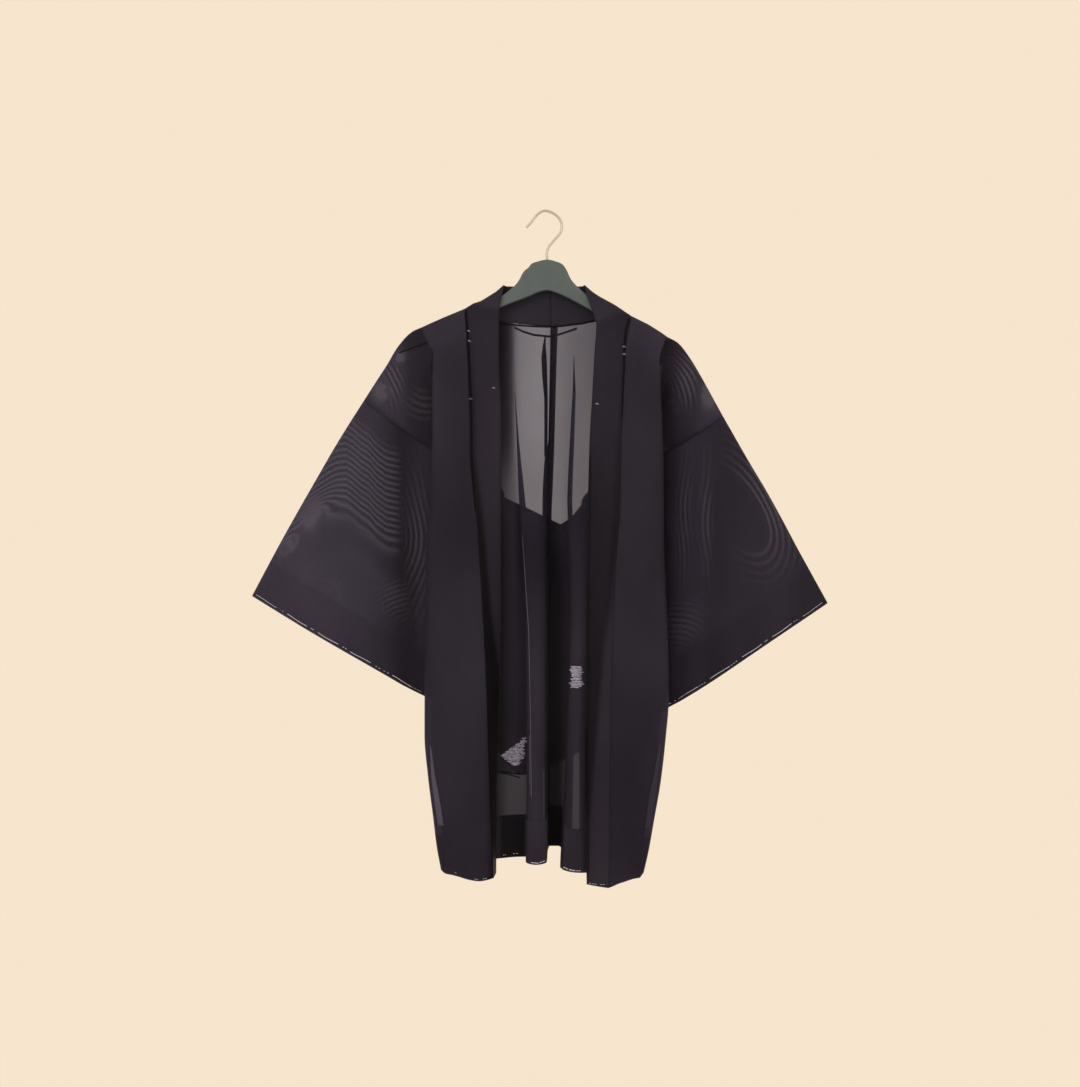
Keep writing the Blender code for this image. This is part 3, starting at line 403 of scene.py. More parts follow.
def back_sheet(side):
    """The back from its centre seam past the neck to the side fold, and its return."""
    armpit, top_z = side["armhole"][-1][1], side["shoulder"][-1][1]
    lines = [SEAM_COLUMN, *side["neck_columns"].values()]
    neck_hem, fold_hem = lines[-1]["hem_z"], side["back_hem_fold_z"]
    grid = []
    for row, above, below in row_shares():
        level = height(top_z, armpit, side["side"]["z"][-1], above, below)
        (fold_x, fold_y), *rest = hanging_section(side, "back", row, level)
        points = [back_point(line, armpit, row, above, below) for line in lines]
        neck_x, neck_y, _ = points[-1]
        for column in PANEL_COLUMNS[1:]:
            hem_z = neck_hem + (fold_hem - neck_hem) * column
            z = height(along(side["shoulder"], column)[1], armpit, hem_z, above, below)
            x = neck_x + (fold_x - neck_x) * column + ridge_bend(side, column, above)
            points.append((x, neck_y + (fold_y - neck_y) * smooth(column), z))
        z = height(top_z, armpit, fold_hem, above, below)
        grid.append(points + [(x, y, z) for x, y in rest])
    return grid


def extension_sheet(side, layer, creases):
    """The shoulder beyond the hanging panel: from the crease out to the sleeve's seam."""
    sign = -1 if layer == "front" else 1
    top = side["extension"]
    start, stop = np.array(top[0], float), np.array(top[-1], float)
    grid = []
    for row, (share, crease) in enumerate(zip(LAYERS["share"], creases)):
        end = along(side["armhole"], share)
        half = min(LAYERS["sleeve_half"][row], HALF_LIMIT) * sign
        middle = sleeve_middle(side, end[0])
        own = side["sleeve_depth"] * LAYERS["sleeve_share"][row] + LAYERS["sleeve_half"][row] * sign
        points = [crease]
        for part in EXTENSION_COLUMNS:
            bulge = along(top, part) - (start + (stop - start) * part)
            flat = np.array([crease[0], crease[2]]) * (1 - part) + end * part
            flat += bulge * (1 - share) ** 2
            points.append((flat[0], own * (1 - part) + half * part + middle * part ** 2, flat[1]))
        grid.append(points)
    grid[-1] = [creases[-1]] * len(grid[-1])
    return grid


def sleeve_rings(side, armhole_front, armhole_back):
    """Rings of a flattened sleeve, swept from the body to the cuff. Each starts at the top fold."""
    armhole, furi, cuff = side["armhole"], side["furi"], side["cuff"]
    arm_length, furi_length = line_length(armhole), line_length(furi)
    whole = arm_length + furi_length
    shares = [share * arm_length / whole for share in LAYERS["share"]]
    shares += [(arm_length + share * furi_length) / whole for share in FURI_STEPS]
    body_end = [along(armhole, share) for share in LAYERS["share"]]
    body_end += [along(furi, share) for share in FURI_STEPS]
    last = len(LAYERS["share"]) - 1
    halves = [min(h, HALF_LIMIT) for h in LAYERS["sleeve_half"]] + [LAYER_HALF_GAP] * len(FURI_STEPS)
    top_start, top_stop = np.array(side["sleeve_top"][0]), np.array(side["sleeve_top"][-1])
    width, depth = line_length(side["sleeve_top"]), line_length(cuff)
    rings = []
    for step in SLEEVE_STEPS:
        top_bow = along(side["sleeve_top"], step) - (top_start + (top_stop - top_start) * step)
        corner = max(0.0, (step * width - (width - CORNER_RADIUS)) / CORNER_RADIUS)
        short = 1 - CORNER_RADIUS / depth * (1 - math.sqrt(max(0.0, 1 - corner * corner)))
        front, back = [], []
        for i, share in enumerate(shares):
            flat = body_end[i] * (1 - step) + along(cuff, share * short) * step + top_bow * (1 - share)
            middle = sleeve_middle(side, flat[0])
            front.append((flat[0], middle - halves[i], flat[1]))
            back.append((flat[0], middle + halves[i], flat[1]))
            if step == 0 and i < last:
                front[-1], back[-1] = armhole_front[i], armhole_back[i]
            elif step == 0 and i == last:
                x, y, z = armhole_front[i]
                front[-1] = (x, y + ARMPIT_PINCH, z)
                back[-1] = (x + ARMPIT_STEP * side["inward"], back[-1][1] - ARMPIT_PINCH, z)
        lowest = np.array(front[-1]) * 0.5 + np.array(back[-1]) * 0.5
        outward = np.array(front[-1]) - np.array(front[-2])
        lowest += outward / np.linalg.norm(outward) * LAYER_HALF_GAP * LOWER_EDGE
        rings.append(front + [tuple(lowest)] + back[:0:-1])
    return rings


def collar_grid(side, front_seam, neck_seam):
    """The collar band from the front hem over the shoulder to the centre of the back neck."""
    edge, top_z, ridge_z = side["collar_edge"], side["collar_top_z"], side["shoulder"][0][1]
    grid = []
    for row, seam_point in reversed(list(enumerate(front_seam))):
        z = seam_point[2]
        share = smooth((ridge_z - z) / COLLAR_TURN)
        edge_z = (top_z + (z - ridge_z) * COLLAR_FALL) * (1 - share) + z * share
        edge_x, edge_y = (lookup(edge["z"], edge[axis], edge_z) for axis in "xy")
        if row < TOP_ROWS:
            edge_y = LAYERS["front"][row]
        grid.append(across_collar(seam_point, (edge_x, edge_y, edge_z)))
    lines = [*list(side["neck_columns"].values())[::-1], SEAM_COLUMN]
    for i, (seam_point, line) in enumerate(zip(neck_seam, lines)):
        if i:
            edge_point = (line["collar_x"], seam_point[1] + COLLAR_LEAN, top_z - COLLAR_DIP * i / len(lines))
            grid.append(across_collar(seam_point, edge_point))
    return grid


def across_collar(seam_point, edge_point):
    """Three points across the collar, with a slight roll in the middle."""
    a, b = np.array(seam_point, float), np.array(edge_point, float)
    middle = (a + b) / 2
    middle[1] += COLLAR_ROLL if a[1] > FRONT_LIMIT else -COLLAR_ROLL
    return [tuple(a), tuple(middle), tuple(b)]


def gusset_grid(side, front_end, back_end):
    """The gusset from armpit to hem, folded inwards between the front's and the back's edges."""
    table = side["side"]
    grid = []
    for a, b in zip(front_end, back_end):
        a, b = np.array(a, float), np.array(b, float)
        reach = lookup(table["z"], table["gusset"], a[2]) * side["inward"]
        middle = (a + b) / 2
        near = max(a[0] * side["inward"], b[0] * side["inward"]) * side["inward"]
        tip = np.array([near + reach, middle[1], middle[2]])
        quarter_a, quarter_b = (end + (tip - end) * GUSSET_REACH for end in (a, b))
        quarter_a[1] = a[1] + (middle[1] - a[1]) * GUSSET_CURVE
        quarter_b[1] = b[1] + (middle[1] - b[1]) * GUSSET_CURVE
        grid.append([tuple(a), tuple(quarter_a), tuple(tip), tuple(quarter_b), tuple(b)])
    return grid


# The cloth's fine form -----------------------------------------------

# The fine grids' steps, and the least distance between two rows.
ROW_STEP = 6.0
COLUMN_STEP = 5.0
LEAST_STEP = 0.4


def slopes(values, places):
    """Slopes of monotone cubic curves through the rows of an array."""
    gaps = np.diff(places)[:, None]
    rises = np.diff(values, axis=0) / gaps
    result = np.zeros_like(values)
    result[0], result[-1] = rises[0], rises[-1]
    before, after = rises[:-1], rises[1:]
    near, far = 2 * gaps[1:] + gaps[:-1], gaps[1:] + 2 * gaps[:-1]
    same = before * after > 0
    safe_before, safe_after = np.where(same, before, 1.0), np.where(same, after, 1.0)
    result[1:-1] = np.where(same, (near + far) / (near / safe_before + far / safe_after), 0.0)
    return result


def refine_rows(grid, places, new_places):
    """Points between the rows of a grid, on monotone cubic curves."""
    grid = np.array(grid, float)
    flat = grid.reshape(len(grid), -1)
    slope = slopes(flat, places)
    index = np.clip(np.searchsorted(places, new_places, side="right") - 1, 0, len(places) - 2)
    gap = (places[index + 1] - places[index])[:, None]
    t = (new_places - places[index])[:, None] / gap
    a, b, c, d = flat[index], flat[index + 1], slope[index] * gap, slope[index + 1] * gap
    fine = (2 * t**3 - 3 * t**2 + 1) * a + (t**3 - 2 * t**2 + t) * c + (3 * t**2 - 2 * t**3) * b
    fine += (t**3 - t**2) * d
    return fine.reshape((len(new_places),) + grid.shape[1:])


def refine_columns(grid, places, new_places):
    return refine_rows(np.swapaxes(grid, 0, 1), places, new_places).swapaxes(0, 1)


def row_places(grid):
    """How far along the cloth each row lies, on average."""
    gaps = np.linalg.norm(np.diff(np.array(grid, float), axis=0), axis=2).mean(axis=1)
    return np.concatenate([[0], np.cumsum(np.maximum(gaps, LEAST_STEP))])


def column_places(grid):
    return row_places(np.swapaxes(np.array(grid, float), 0, 1))


def spread(places, step):
    """The same places with more between them, none further apart than a step."""
    result = []
    for a, b in zip(places, places[1:]):
        count = max(1, math.ceil((b - a) / step))
        result += [a + (b - a) * i / count for i in range(count)]
    return np.array(result + [places[-1]])


def fine_side(side):
    """Fine grids of one side's cloth: each is (points, places along, places across)."""
    upper_rows = len(LAYERS["share"])
    front, back = front_sheet(side), back_sheet(side)
    extension = {n: extension_sheet(side, n, [row[-1] for row in g[:upper_rows]])
                 for n, g in (("front", front), ("back", back))}
    neck = len(side["neck_columns"])
    shared = front[::-1] + [row[neck:] for row in back[1:]]
    places = row_places(shared)
    ridge = places[len(front) - 1]
    fine_places = spread(places, ROW_STEP)
    both = refine_rows(shared, places, fine_places)
    ridge_row = int(np.argmin(abs(fine_places - ridge)))
    neck_lines = refine_rows([row[:neck] for row in back], places[len(front) - 1:], fine_places[ridge_row:])
    back_fine = np.concatenate([neck_lines, both[ridge_row:]], axis=1)
    back_across = column_places(back)
    up = slice(ridge_row, None, -1)
    result = {"front": lay_out(both[up], ridge - fine_places[up], column_places(front)),
              "back": lay_out(back_fine, fine_places[ridge_row:] - ridge, back_across)}
    ridge_line = result["front"][0][0]
    order = np.argsort(ridge_line[:, 0])
    on_ridge = result["back"][2] >= back_across[neck]
    top = result["back"][0][0]
    top[on_ridge, 2] = np.interp(top[on_ridge, 0], ridge_line[order, 0], ridge_line[order, 2])
    # The shoulder beyond the hanging panels, over its own ridge.
    beyond = [row[1:] for row in extension["front"][::-1]] + [row[1:] for row in extension["back"][1:]]
    first = len(front) - upper_rows
    part_places = places[first:first + 2 * upper_rows - 1]
    inside = (fine_places >= part_places[0] - NEAR) & (fine_places <= part_places[-1] + NEAR)
    fine_beyond = refine_rows(beyond, part_places, fine_places[inside])
    strip = np.concatenate([both[inside][:, -1:], fine_beyond], axis=1)
    result["extension"] = lay_out(strip, fine_places[inside] - ridge, column_places(extension["front"]))
    armholes = [[row[-1] for row in extension[n]] for n in ("front", "back")]
    result["sleeve"] = fine_sleeve(sleeve_rings(side, *armholes))
    result["collar"] = fine_band(collar_grid(side, [row[0] for row in front], back[0][:neck + 1][::-1]))
    ends = [[row[-1] for row in g][upper_rows + 1:] for g in (front, back)]
    result["gusset"] = fine_band(gusset_grid(side, *ends))
    return result


def fine_band(grid):
    """A grid made finer both ways."""
    places = row_places(grid)
    down = spread(places, ROW_STEP)
    return lay_out(refine_rows(grid, places, down), down, column_places(grid))


def lay_out(fine_rows, down, across):
    new_across = spread(across, COLUMN_STEP)
    return refine_columns(fine_rows, across, new_across), down, new_across


def fine_sleeve(rings):
    """A sleeve's rings made finer both ways. Its columns run round it, and its rows along it."""
    rings = np.array(rings, float)
    places = row_places(rings)
    down = spread(places, COLUMN_STEP)
    rows = refine_rows(rings, places, down)
    # Columns repeated at both ends let the curves run on past the join.
    wrapped, coarse = (np.concatenate([g[:, -3:], g, g[:, :4]], axis=1) for g in (rows, rings))
    round_places = column_places(coarse)
    new_round = spread(round_places, COLUMN_STEP)
    start, stop = round_places[3], round_places[3 + rings.shape[1]]
    keep = (new_round >= start - NEAR) & (new_round < stop - NEAR)
    fine = refine_columns(wrapped, round_places, new_round)[:, keep]
    return fine, down, new_round[keep] - start


# Turned-up hems and seam allowances ----------------------------------

HEM_DEPTH = {"front": 50.0, "back": 64.0}
CUFF_DEPTH = 62.0
ARMHOLE_ALLOWANCE = 8.0
TURNED_GAP = 1.1

# The centre back's seam allowance, as seen through the cloth.
CENTRE_ALLOWANCE = {
    "z": [-160, -200, -250, -325, -350, -390, -420, -500, -700, -885],
    "left": [8.5, 8, 7, 5.5, 0, -2.5, -3, -1.5, 0, 0],
    "right": [19, 17.5, 16, 14, 13, 11.5, 10, 9, 9, 8],
}
CENTRE_LINE = {
    "z": [-172, -188, -205, -235, -262, -300, -345],
    "left": [.5, -2.5, -4.5, -3, -.4, -.2, -.4],
    "right": [2, 1.8, 3.2, 4, 4.6, 4.4, 4],
}
# The right fold's outer edge turns back behind itself.
FOLD_RETURN = {
    "z": [-430, -480, -560, -700, -905],
    "left": [57, 54, 51, 48.8, 48.8],
    "right": [60, 60.5, 61, 61, 60.5],
}
NECK_LINE = {"x": [-43, -30, -16, 6, 19, 33, 46], "z": [-160, -166, -170.5, -173, -170.5, -166, -161.5]}
NECK_LINE_WIDTH = 3.2
NECK_LINE_COLUMNS = 40
# It lies a little behind the back's face at this height.
NECK_LINE_LEVEL = -200
NECK_LINE_BEHIND = 1.3
STRIP_STEP = 8.0
STRIP_PARTS = 4


def grid_normals(fine):
    """Unit normals at a grid's points."""
    normal = np.cross(np.gradient(fine, axis=0), np.gradient(fine, axis=1))
    return normal / np.maximum(np.linalg.norm(normal, axis=2, keepdims=True), 1e-9)


def inner_side(layout, part):
    """Which way a grid's normals point into the garment: 1 or -1."""
    rows, columns = layout[0].shape[:2]
    row, column = {"front": (rows * 3 // 4, columns // 6), "back": (rows * 3 // 4, columns // 2),
                   "extension": (rows - 3, columns - 2)}[part]
    backwards = grid_normals(layout[0])[row, column, 1] > 0
    return 1 if backwards == (part == "front") else -1


def turned(layout, part, rows, columns=slice(None)):
    """Some rows and columns of a grid, moved off its own surface into the garment."""
    fine, down, across = layout
    moved = fine + grid_normals(fine) * TURNED_GAP * inner_side(layout, part)
    return moved[rows][:, columns], down[rows], across[columns]


def ring_turned(layout, rows):
    """A band inside a sleeve's ring, off its own surface."""
    fine, down, across = layout
    wrapped = np.concatenate([fine[:, -1:], fine, fine[:, :1]], axis=1)
    normal = grid_normals(wrapped)[:, 1:-1]
    middle = fine.mean(axis=1, keepdims=True)
    flip = np.sign(np.sum(normal * (middle - fine), axis=2).mean())
    return (fine + normal * TURNED_GAP * flip)[rows], down[rows], across


def hem_rows(layout, depth):
    """The rows that lie within a depth of a grid's last one."""
    return np.nonzero(layout[1] >= layout[1][-1] - depth)[0]


def back_depth(x, z):
    """Depth of the back's front surface at a place beside its centre."""
    left, right = LEFT["neck_columns"], RIGHT["neck_columns"]
    lines = [left[key] for key in ("shade", "valley", "fold1_left", "fold1_crest", "fold1_right")]
    lines += [right[key] for key in ("notch_in", "notch_out", "fold2_left", "fold2_crest", "fold2_right")]
    places = sorted(at_level(line, z) for line in lines + [SEAM_COLUMN])
    return float(np.interp(x, *zip(*places)))


def strip_between(table, behind):
    """A narrow strip behind the back, between two lines given down its length."""
    top, foot = table["z"][0], table["z"][-1]
    levels = np.arange(top, foot - STRIP_STEP, -STRIP_STEP)
    levels = np.append(levels[levels > foot], foot)
    grid = []
    for z in levels:
        a, b = (lookup(table["z"], table[edge], z) for edge in ("left", "right"))
        xs = [a + (b - a) * i / STRIP_PARTS for i in range(STRIP_PARTS + 1)]
        grid.append([(x, back_depth(x, z) + behind, z) for x in xs])
    return np.array(grid), top - levels, np.linspace(0, 10, STRIP_PARTS + 1)


# The meshes ----------------------------------------------------------

THREAD_SIDES = 6


def mesh_of(*layouts, closed=False):
    """Faces between the points of fine grids, with their places on the cloth as UVs."""
    mesh = bmesh.new()
    uv_layer = mesh.loops.layers.uv.verify()
    for fine, down, across in layouts:
        rows = [[mesh.verts.new([c * MM for c in point]) for point in row] for row in fine]
        count = len(rows[0])
        for r in range(len(rows) - 1):
            for i in range(count if closed else count - 1):
                j = (i + 1) % count
                corners = ((r, i), (r, j), (r + 1, j), (r + 1, i))
                face = mesh.faces.new([rows[a][b] for a, b in corners])
                for loop, (a, b) in zip(face.loops, corners):
                    place = across[b] if b or i < count - 1 or not closed else across[-1] + COLUMN_STEP
                    loop[uv_layer].uv = (place * MM, down[a] * MM)
    return mesh


def new_object(name, data):
    piece = bpy.data.objects.new(name, data)
    bpy.context.scene.collection.objects.link(piece)
    return piece


def cloth_piece(name, mesh, material, looks=None, wall=SHELL, nodes=()):
    """A piece of cloth or thread on the body, with the values its material needs at each point."""
    bmesh.ops.remove_doubles(mesh, verts=mesh.verts, dist=WELD * MM)
    bmesh.ops.recalc_face_normals(mesh, faces=mesh.faces)
    data = bpy.data.meshes.new(name)
    mesh.to_mesh(data)
    mesh.free()
    points = np.zeros(len(data.vertices) * 3)
    data.vertices.foreach_get("co", points)
    for key, values in (looks(points.reshape(-1, 3) / MM) if looks else {}).items():
        layer = data.attributes.new(key, "FLOAT", "POINT")
        layer.data.foreach_set("value", np.array(values, np.float32))
    data.materials.append(material)
    data.shade_smooth()
    piece = new_object(name, data)
    if wall:
        shell = piece.modifiers.new("wall", "SOLIDIFY")
        shell.thickness = wall * MM
        shell.offset = 0
    if nodes:
        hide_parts(*nodes)
    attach(piece, "root")
    return piece


def tube(mesh, points, radius):
    """A thread along points, closed at both ends."""
    points = np.array(points, float)
    tangent = np.gradient(points, axis=0)
    tangent /= np.linalg.norm(tangent, axis=1)[:, None]
    turns = [2 * math.pi * i / THREAD_SIDES for i in range(THREAD_SIDES)]
    rings = []
    for point, direction in zip(points, tangent):
        side = np.cross(direction, (0, 1, 0))
        side /= np.linalg.norm(side)
        up = np.cross(side, direction)
        rings.append([mesh.verts.new((point + (side * math.cos(t) + up * math.sin(t)) * radius) * MM)
                      for t in turns])
    for a, b in zip(rings, rings[1:]):
        for i in range(THREAD_SIDES):
            j = (i + 1) % THREAD_SIDES
            mesh.faces.new((a[i], a[j], b[j], b[i]))
    mesh.faces.new(rings[0])
    mesh.faces.new(rings[-1])


# Soft creases: piece, x and z at both ends, width, and depth. Below zero they are ridges.
CREASES = [
    ("sleeve", -215, -300, -205, -480, 14, 2.2), ("sleeve", -262, -330, -330, -440, 12, 1.2),
    ("sleeve", -172, -480, -180, -640, 9, 1.5), ("sleeve", -300, -500, -240, -600, 16, -1.2),
    ("sleeve", 190, -310, 185, -560, 12, 2.2), ("sleeve", 232, -320, 262, -520, 14, -1.5),
    ("sleeve", 300, -400, 330, -520, 10, 1), ("sleeve", 215, -560, 190, -660, 12, 1.2),
    ("front", -98, -130, -66, -141, 5, 1.3), ("front", -125, -250, -135, -640, 12, 1.2),
    ("front", -120, -700, -128, -900, 10, -1), ("front", 110, -144, 75, -157, 5, 1.3),
    ("front", 125, -250, 120, -600, 12, 1.2), ("front", 104, -680, 98, -900, 10, -1),
    ("back", -60, -240, -95, -520, 14, -1.5), ("back", 70, -250, 100, -560, 14, -1.5),
    ("back", -50, -172, -120, -230, 9, 1.2), ("back", 60, -168, 125, -235, 9, 1.2),
]


def creased(layout, part):
    """A grid with its creases pressed in."""
    fine, down, across = layout
    moved = fine.copy()
    x, z = fine[..., 0], fine[..., 2]
    for i, (own, x0, z0, x1, z1, width, depth) in enumerate(CREASES):
        if own != part:
            continue
        way = np.array([x1 - x0, z1 - z0], float)
        length = np.linalg.norm(way)
        way /= length
        place = ((x - x0) * way[0] + (z - z0) * way[1]) / length
        off = (x - x0) * way[1] - (z - z0) * way[0] + width * .4 * np.sin(place * 5 + i)
        fade = ramp(place, -.08, .25) * (1 - ramp(place, .7, 1.08))
        moved[..., 1] += depth * fade * np.exp(-(off / width) ** 2)
    return moved, down, across


# How the cloth looks from place to place -----------------------------

# Where the threads of two layers line up they show as fringes. On the left sleeve they follow a wavy
# line across it: how many there are down to each level below that line, and how strong they are.
WAVE = {
    "line_x": [-345, -317, -306, -293, -279, -269, -258, -248, -237, -224, -207],
    "line_z": [-34, -17, -9, -2, 0, -7, -17, -23, -36, -46, -50],
    "count_z": [-760, -620, -520, -470, -430, -406, -300, -270],
    "count": [24, 20.5, 18.6, 18, 17.4, 15.7, 3.2, 0],
    "fade_z": [-500, -440, -405, -300, -280],
    "fade": [0, .35, 1, 1, .3],
    "edges": [-216, -200],
}
# Humps in the waves: x, z, long and short radius, tilt, and how many lines they add.
BUMPS = [(-324, -424, 33, 15, 46, 2.6), (-359, -466, 20, 10, 50, 1.5)]
# Fringes also go round centres. Each row has a piece, the centre's x and z, the tilt, how much longer
# than wide, the spacing and the inner radius, then the soft mask it shows in, as x, z and both radii,
# and its strength there. With the spacing PLAIN it is just a pale patch.
PLAIN = 1e5
RINGS = [
    ("sleeve_left", -224, -449, 90, 2.2, 7.0, -9, -178, -465, 15, 80, 1.0),
    ("sleeve_left", -168, -640, 90, 1.0, 7.0, -9, -212, -546, 20, 26, .6),
    ("sleeve_left", -330, -560, 90, 1.0, 9.0, -9, -300, -530, 22, 18, .3),
    ("sleeve_left", -331, -437, 90, 1.0, PLAIN, -9, -331, -437, 11, 13, 1.1),
    ("sleeve_left", -321, -420, 90, 1.0, PLAIN, -9, -321, -420, 11, 13, 1.1),
    ("sleeve_left", -359, -467, 90, 1.0, PLAIN, -9, -359, -467, 9, 9, .9),
    ("sleeve_right", 268, -418, 119, 2.0, 7.2, 34, 320, -385, 44, 95, 1.25),
    ("sleeve_right", 330, -440, 90, 3.0, 7.0, 60, 198, -430, 9, 85, .9),
    ("sleeve_right", 330, -440, 90, 3.0, 7.0, 60, 229, -430, 7, 70, .8),
    ("sleeve_right", 188, -640, 90, 1.0, 8.0, -9, 200, -585, 24, 40, .6),
    ("body_left", -170, -215, 90, 1.5, 6.4, 22, -172, -270, 20, 26, .5),
    ("body_left", -345, -285, 90, 1.0, 6.4, -9, -214, -236, 13, 30, 1.4),
    ("body_left", -229, -253, 90, 1.0, PLAIN, -9, -229, -253, 11, 12, 1.8),
    ("body_left", -204, -206, 90, 1.0, PLAIN, -9, -204, -206, 7, 8, 1.6),
    ("body_right", 110, -290, 90, 1.0, 6.4, -9, 202, -236, 13, 34, 1.4),
    ("body_right", 233, -258, 90, 1.0, PLAIN, -9, 232, -258, 9, 15, 2.4),
    ("body_right", 182, -330, 90, 2.4, 7.0, -9, 190, -300, 18, 34, .4),
]
# Each sleeve from left to right: how dense it is, and its painted light and shade. Both darken it where it
# runs in beside the body and lies in its shadow.
SLEEVE_TONE = {
    "sleeve_left": {
        "x": [-420, -300, -245, -224, -204, -190, -176, -150],
        "dense": [.42, .4, .42, .5, .72, .6, .5, .5],
        "shade": [1.8, 1.65, 1.42, 1.1, .62, .68, .95, .9],
    },
    "sleeve_right": {
        "x": [130, 165, 173, 182, 192, 210, 240, 300, 420],
        "dense": [.8, .85, .85, .7, .52, .52, .56, .56, .52],
        "shade": [.3, .35, .4, .85, 1.3, 1.25, .9, .9, 1.1],
    },
}
# The collar's painted shade down its length, with a painted shadow along its seam and one along its free
# edge.
COLLAR_TONE = {
    "collar_left": {
        "z": [-100, -265, -340, -420, -492, -567, -617, -700, -775, -940],
        "shade": [.78, .9, .92, .88, .82, .78, .7, .4, .12, .08],
        "seam_width": [2, 5, 5.5, 9, 10, 12, 16, 24, 24, 24],
        "seam_dark": [.3, .5, .62, .72, .78, .8, .8, .65, .3, 0],
        "edge_width": [0] * 10,
        "edge_dark": [0] * 10,
    },
    "collar_right": {
        "z": [-100, -265, -340, -420, -492, -567, -617, -700, -775, -860, -940],
        "shade": [.78, .85, .82, .8, .8, .85, .88, .92, .95, 1, 1],
        "seam_width": [2, 4, 7, 9, 9, 7, 3, 1, 1, 1, 1],
        "seam_dark": [.2, .3, .35, .35, .35, .2, 0, 0, 0, 0, 0],
        "edge_width": [45, 45, 45, 45, 38, 30, 23, 18, 13, 6, 3],
        "edge_dark": [0, .05, .2, .38, .48, .55, .6, .62, .65, .65, .6],
    },
}
SHADOW_SOFT = 4.0
# Painted shade on a sleeve's far layer, beside its near one.
INNER_SHADE = .7
# The turned-up hems' painted shade from left to right, and the depth before which they stay plain.
HEM_TONE = ([-80, -66, -62, -28, -25, 3, 5, 24, 27, 62, 70], [1, 1, .3, .35, 1, .95, .12, .12, .9, .9, .7])
HEM_FRONT = -34
# How far the collar's top sags out from the neck, and the line it folds over.
COLLAR_SAG = {
    "left": {"x": [58, 67, 81, 91, 99], "drop": [0, 2.8, 3.3, 3.1, 0], "ridge": ((57, -103), (111, -136))},
    "right": {"x": [57, 66, 74, 84, 98], "drop": [0, 2.2, 2.7, 1.8, 0], "ridge": ((56, -103), (121, -146))},
}
COLLAR_SAG_FADE = 24.0
# The back, from the left of the opening to the right: how dense it is and its painted shade. Its cover
# also holds painted shadow: both are darkest along the left collar's edge and in the folds' hollows.
BACK_TONE = {
    "x": [-75, -64, -57, -51, -46, -41, -34, -10, 0, 6, 12, 22, 32, 45, 60, 75],
    "cover_and_shadow_top": [.97, .97, .96, .93, .68, .2, .03, 0, 0, .06, .14, .17, .22, .26, .28, .34],
    "cover_and_shadow_low": [.9, .85, .72, .66, .66, .64, .62, .7, .75, .9, .98, .95, .72, .7, .7, .8],
    "cover_and_shadow_mid": [.9, .75, .62, .54, .46, .36, .16, .12, .1, .1, .14, .17, .24, .28, .3, .36],
    "shade_top": [.3, .35, .45, .65, .9, 1, 1, 1, .7, .3, .5, 1, 1, 1, 1, 1],
    "shade_low": [.2, .22, .3, .55, .8, .8, .9, 1.1, .7, .22, .15, .25, .8, 1.15, 1.1, .8],
}
# Where the back starts and ends, and from what depth below the shoulder to what depth its tones set in.
BACK_SHARE = ([-80, -75, 75, 80], [0, 1, 1, 0])
TONE_DOWN = {"mid": (300, 400), "low": (440, 640), "shade": (380, 520)}
# The paler strip down each side, where the cloth is single: painted light, a lighter colour laid on
# for the light that shows through it.
SIDE_STRIPS = {
    "left": [
        {
            "z": [-748, -756, -788, -810, -835, -863],
            "left": [-160.4, -159.3, -158, -156, -152.4, -147.6],
            "right": [-159.6, -157, -153.1, -148.4, -144, -139.8],
        },
    ],
    "right": [
        {
            "z": [-745, -753, -788, -816, -867],
            "left": [159.6, 157.9, 152.4, 146, 138.8],
            "right": [163.6, 162.6, 158.7, 154.7, 146.8],
        },
    ],
}
SIDE_STRIP_SHADE = {"left": 2.7, "right": 1.25}
# Above the lower window the cloth is doubled.
HOLLOW_SHADE = {"x": [-68, -38], "z": [-722, -788], "dense": .93}
# Painted shade: the right front darkens toward its lower inner edge, where it turns back.
FRONT_DARK = {"x": [64, 71, 84, 98], "dark": [.4, .22, .2, 0], "down": (560, 780), "min_x": 61, "max_y": -22}
# How dense the cloth is beside the back: at the shoulder, below it, and how much less further down.
SIDE_DENSE = {"shoulder": .62, "below": .5, "less": .12, "down": (640, 720)}
# Where the shoulder's cloth folds back behind the front, and its painted shade outside that line.
SHOULDER_FOOT = -330
SHOULDER_FOLD = {
    "body_left": {
        "z": [160, 168, 175, 190, 201, 239, 330],
        "x": [175, 171, 165, 159, 157, 157, 157],
        "out": [0, 6, 30, 46, 62],
        "shade": [.58, .62, .75, 1.2, 1.4],
    },
    "body_right": {
        "z": [168, 177, 182, 199, 206, 252, 330],
        "x": [179, 174, 169, 163, 162, 164, 165],
        "out": [0, 10, 26, 45, 60],
        "shade": [.3, .42, .85, 1.1, 1.6],
    },
}
# Painted highlight: the front is paler just below the shoulder.
SHOULDER_LIGHT = {"shade": 1.38, "down": (8.0, 80.0), "min_x": 98, "max_y": 6}
# Painted light and shade: the collar is paler above a crease where it bends over the shoulder.
COLLAR_CREASE = {
    "collar_left": [(-100, -130), (-66.7, -139)],
    "collar_right": [(109, -142.7), (74.4, -157.5)],
}
# How much painted light the collar has above the crease and painted shade below it,
# each between two distances from it.
CREASE_LIGHT = (.45, -1.5, 1.5)
CREASE_DARK = (.15, -40, -2)
# The centre allowance, down the back: how dense it is, and its painted shade.
CENTRE_DENSE = ([170, 220, 420, 520], [.72, .84, .92, .98])
CENTRE_SHADE = ([200, 420, 520], [.55, .5, .3])


def ramp(values, low, high):
    t = np.clip((values - low) / (high - low), 0, 1)
    return t * t * (3 - 2 * t)


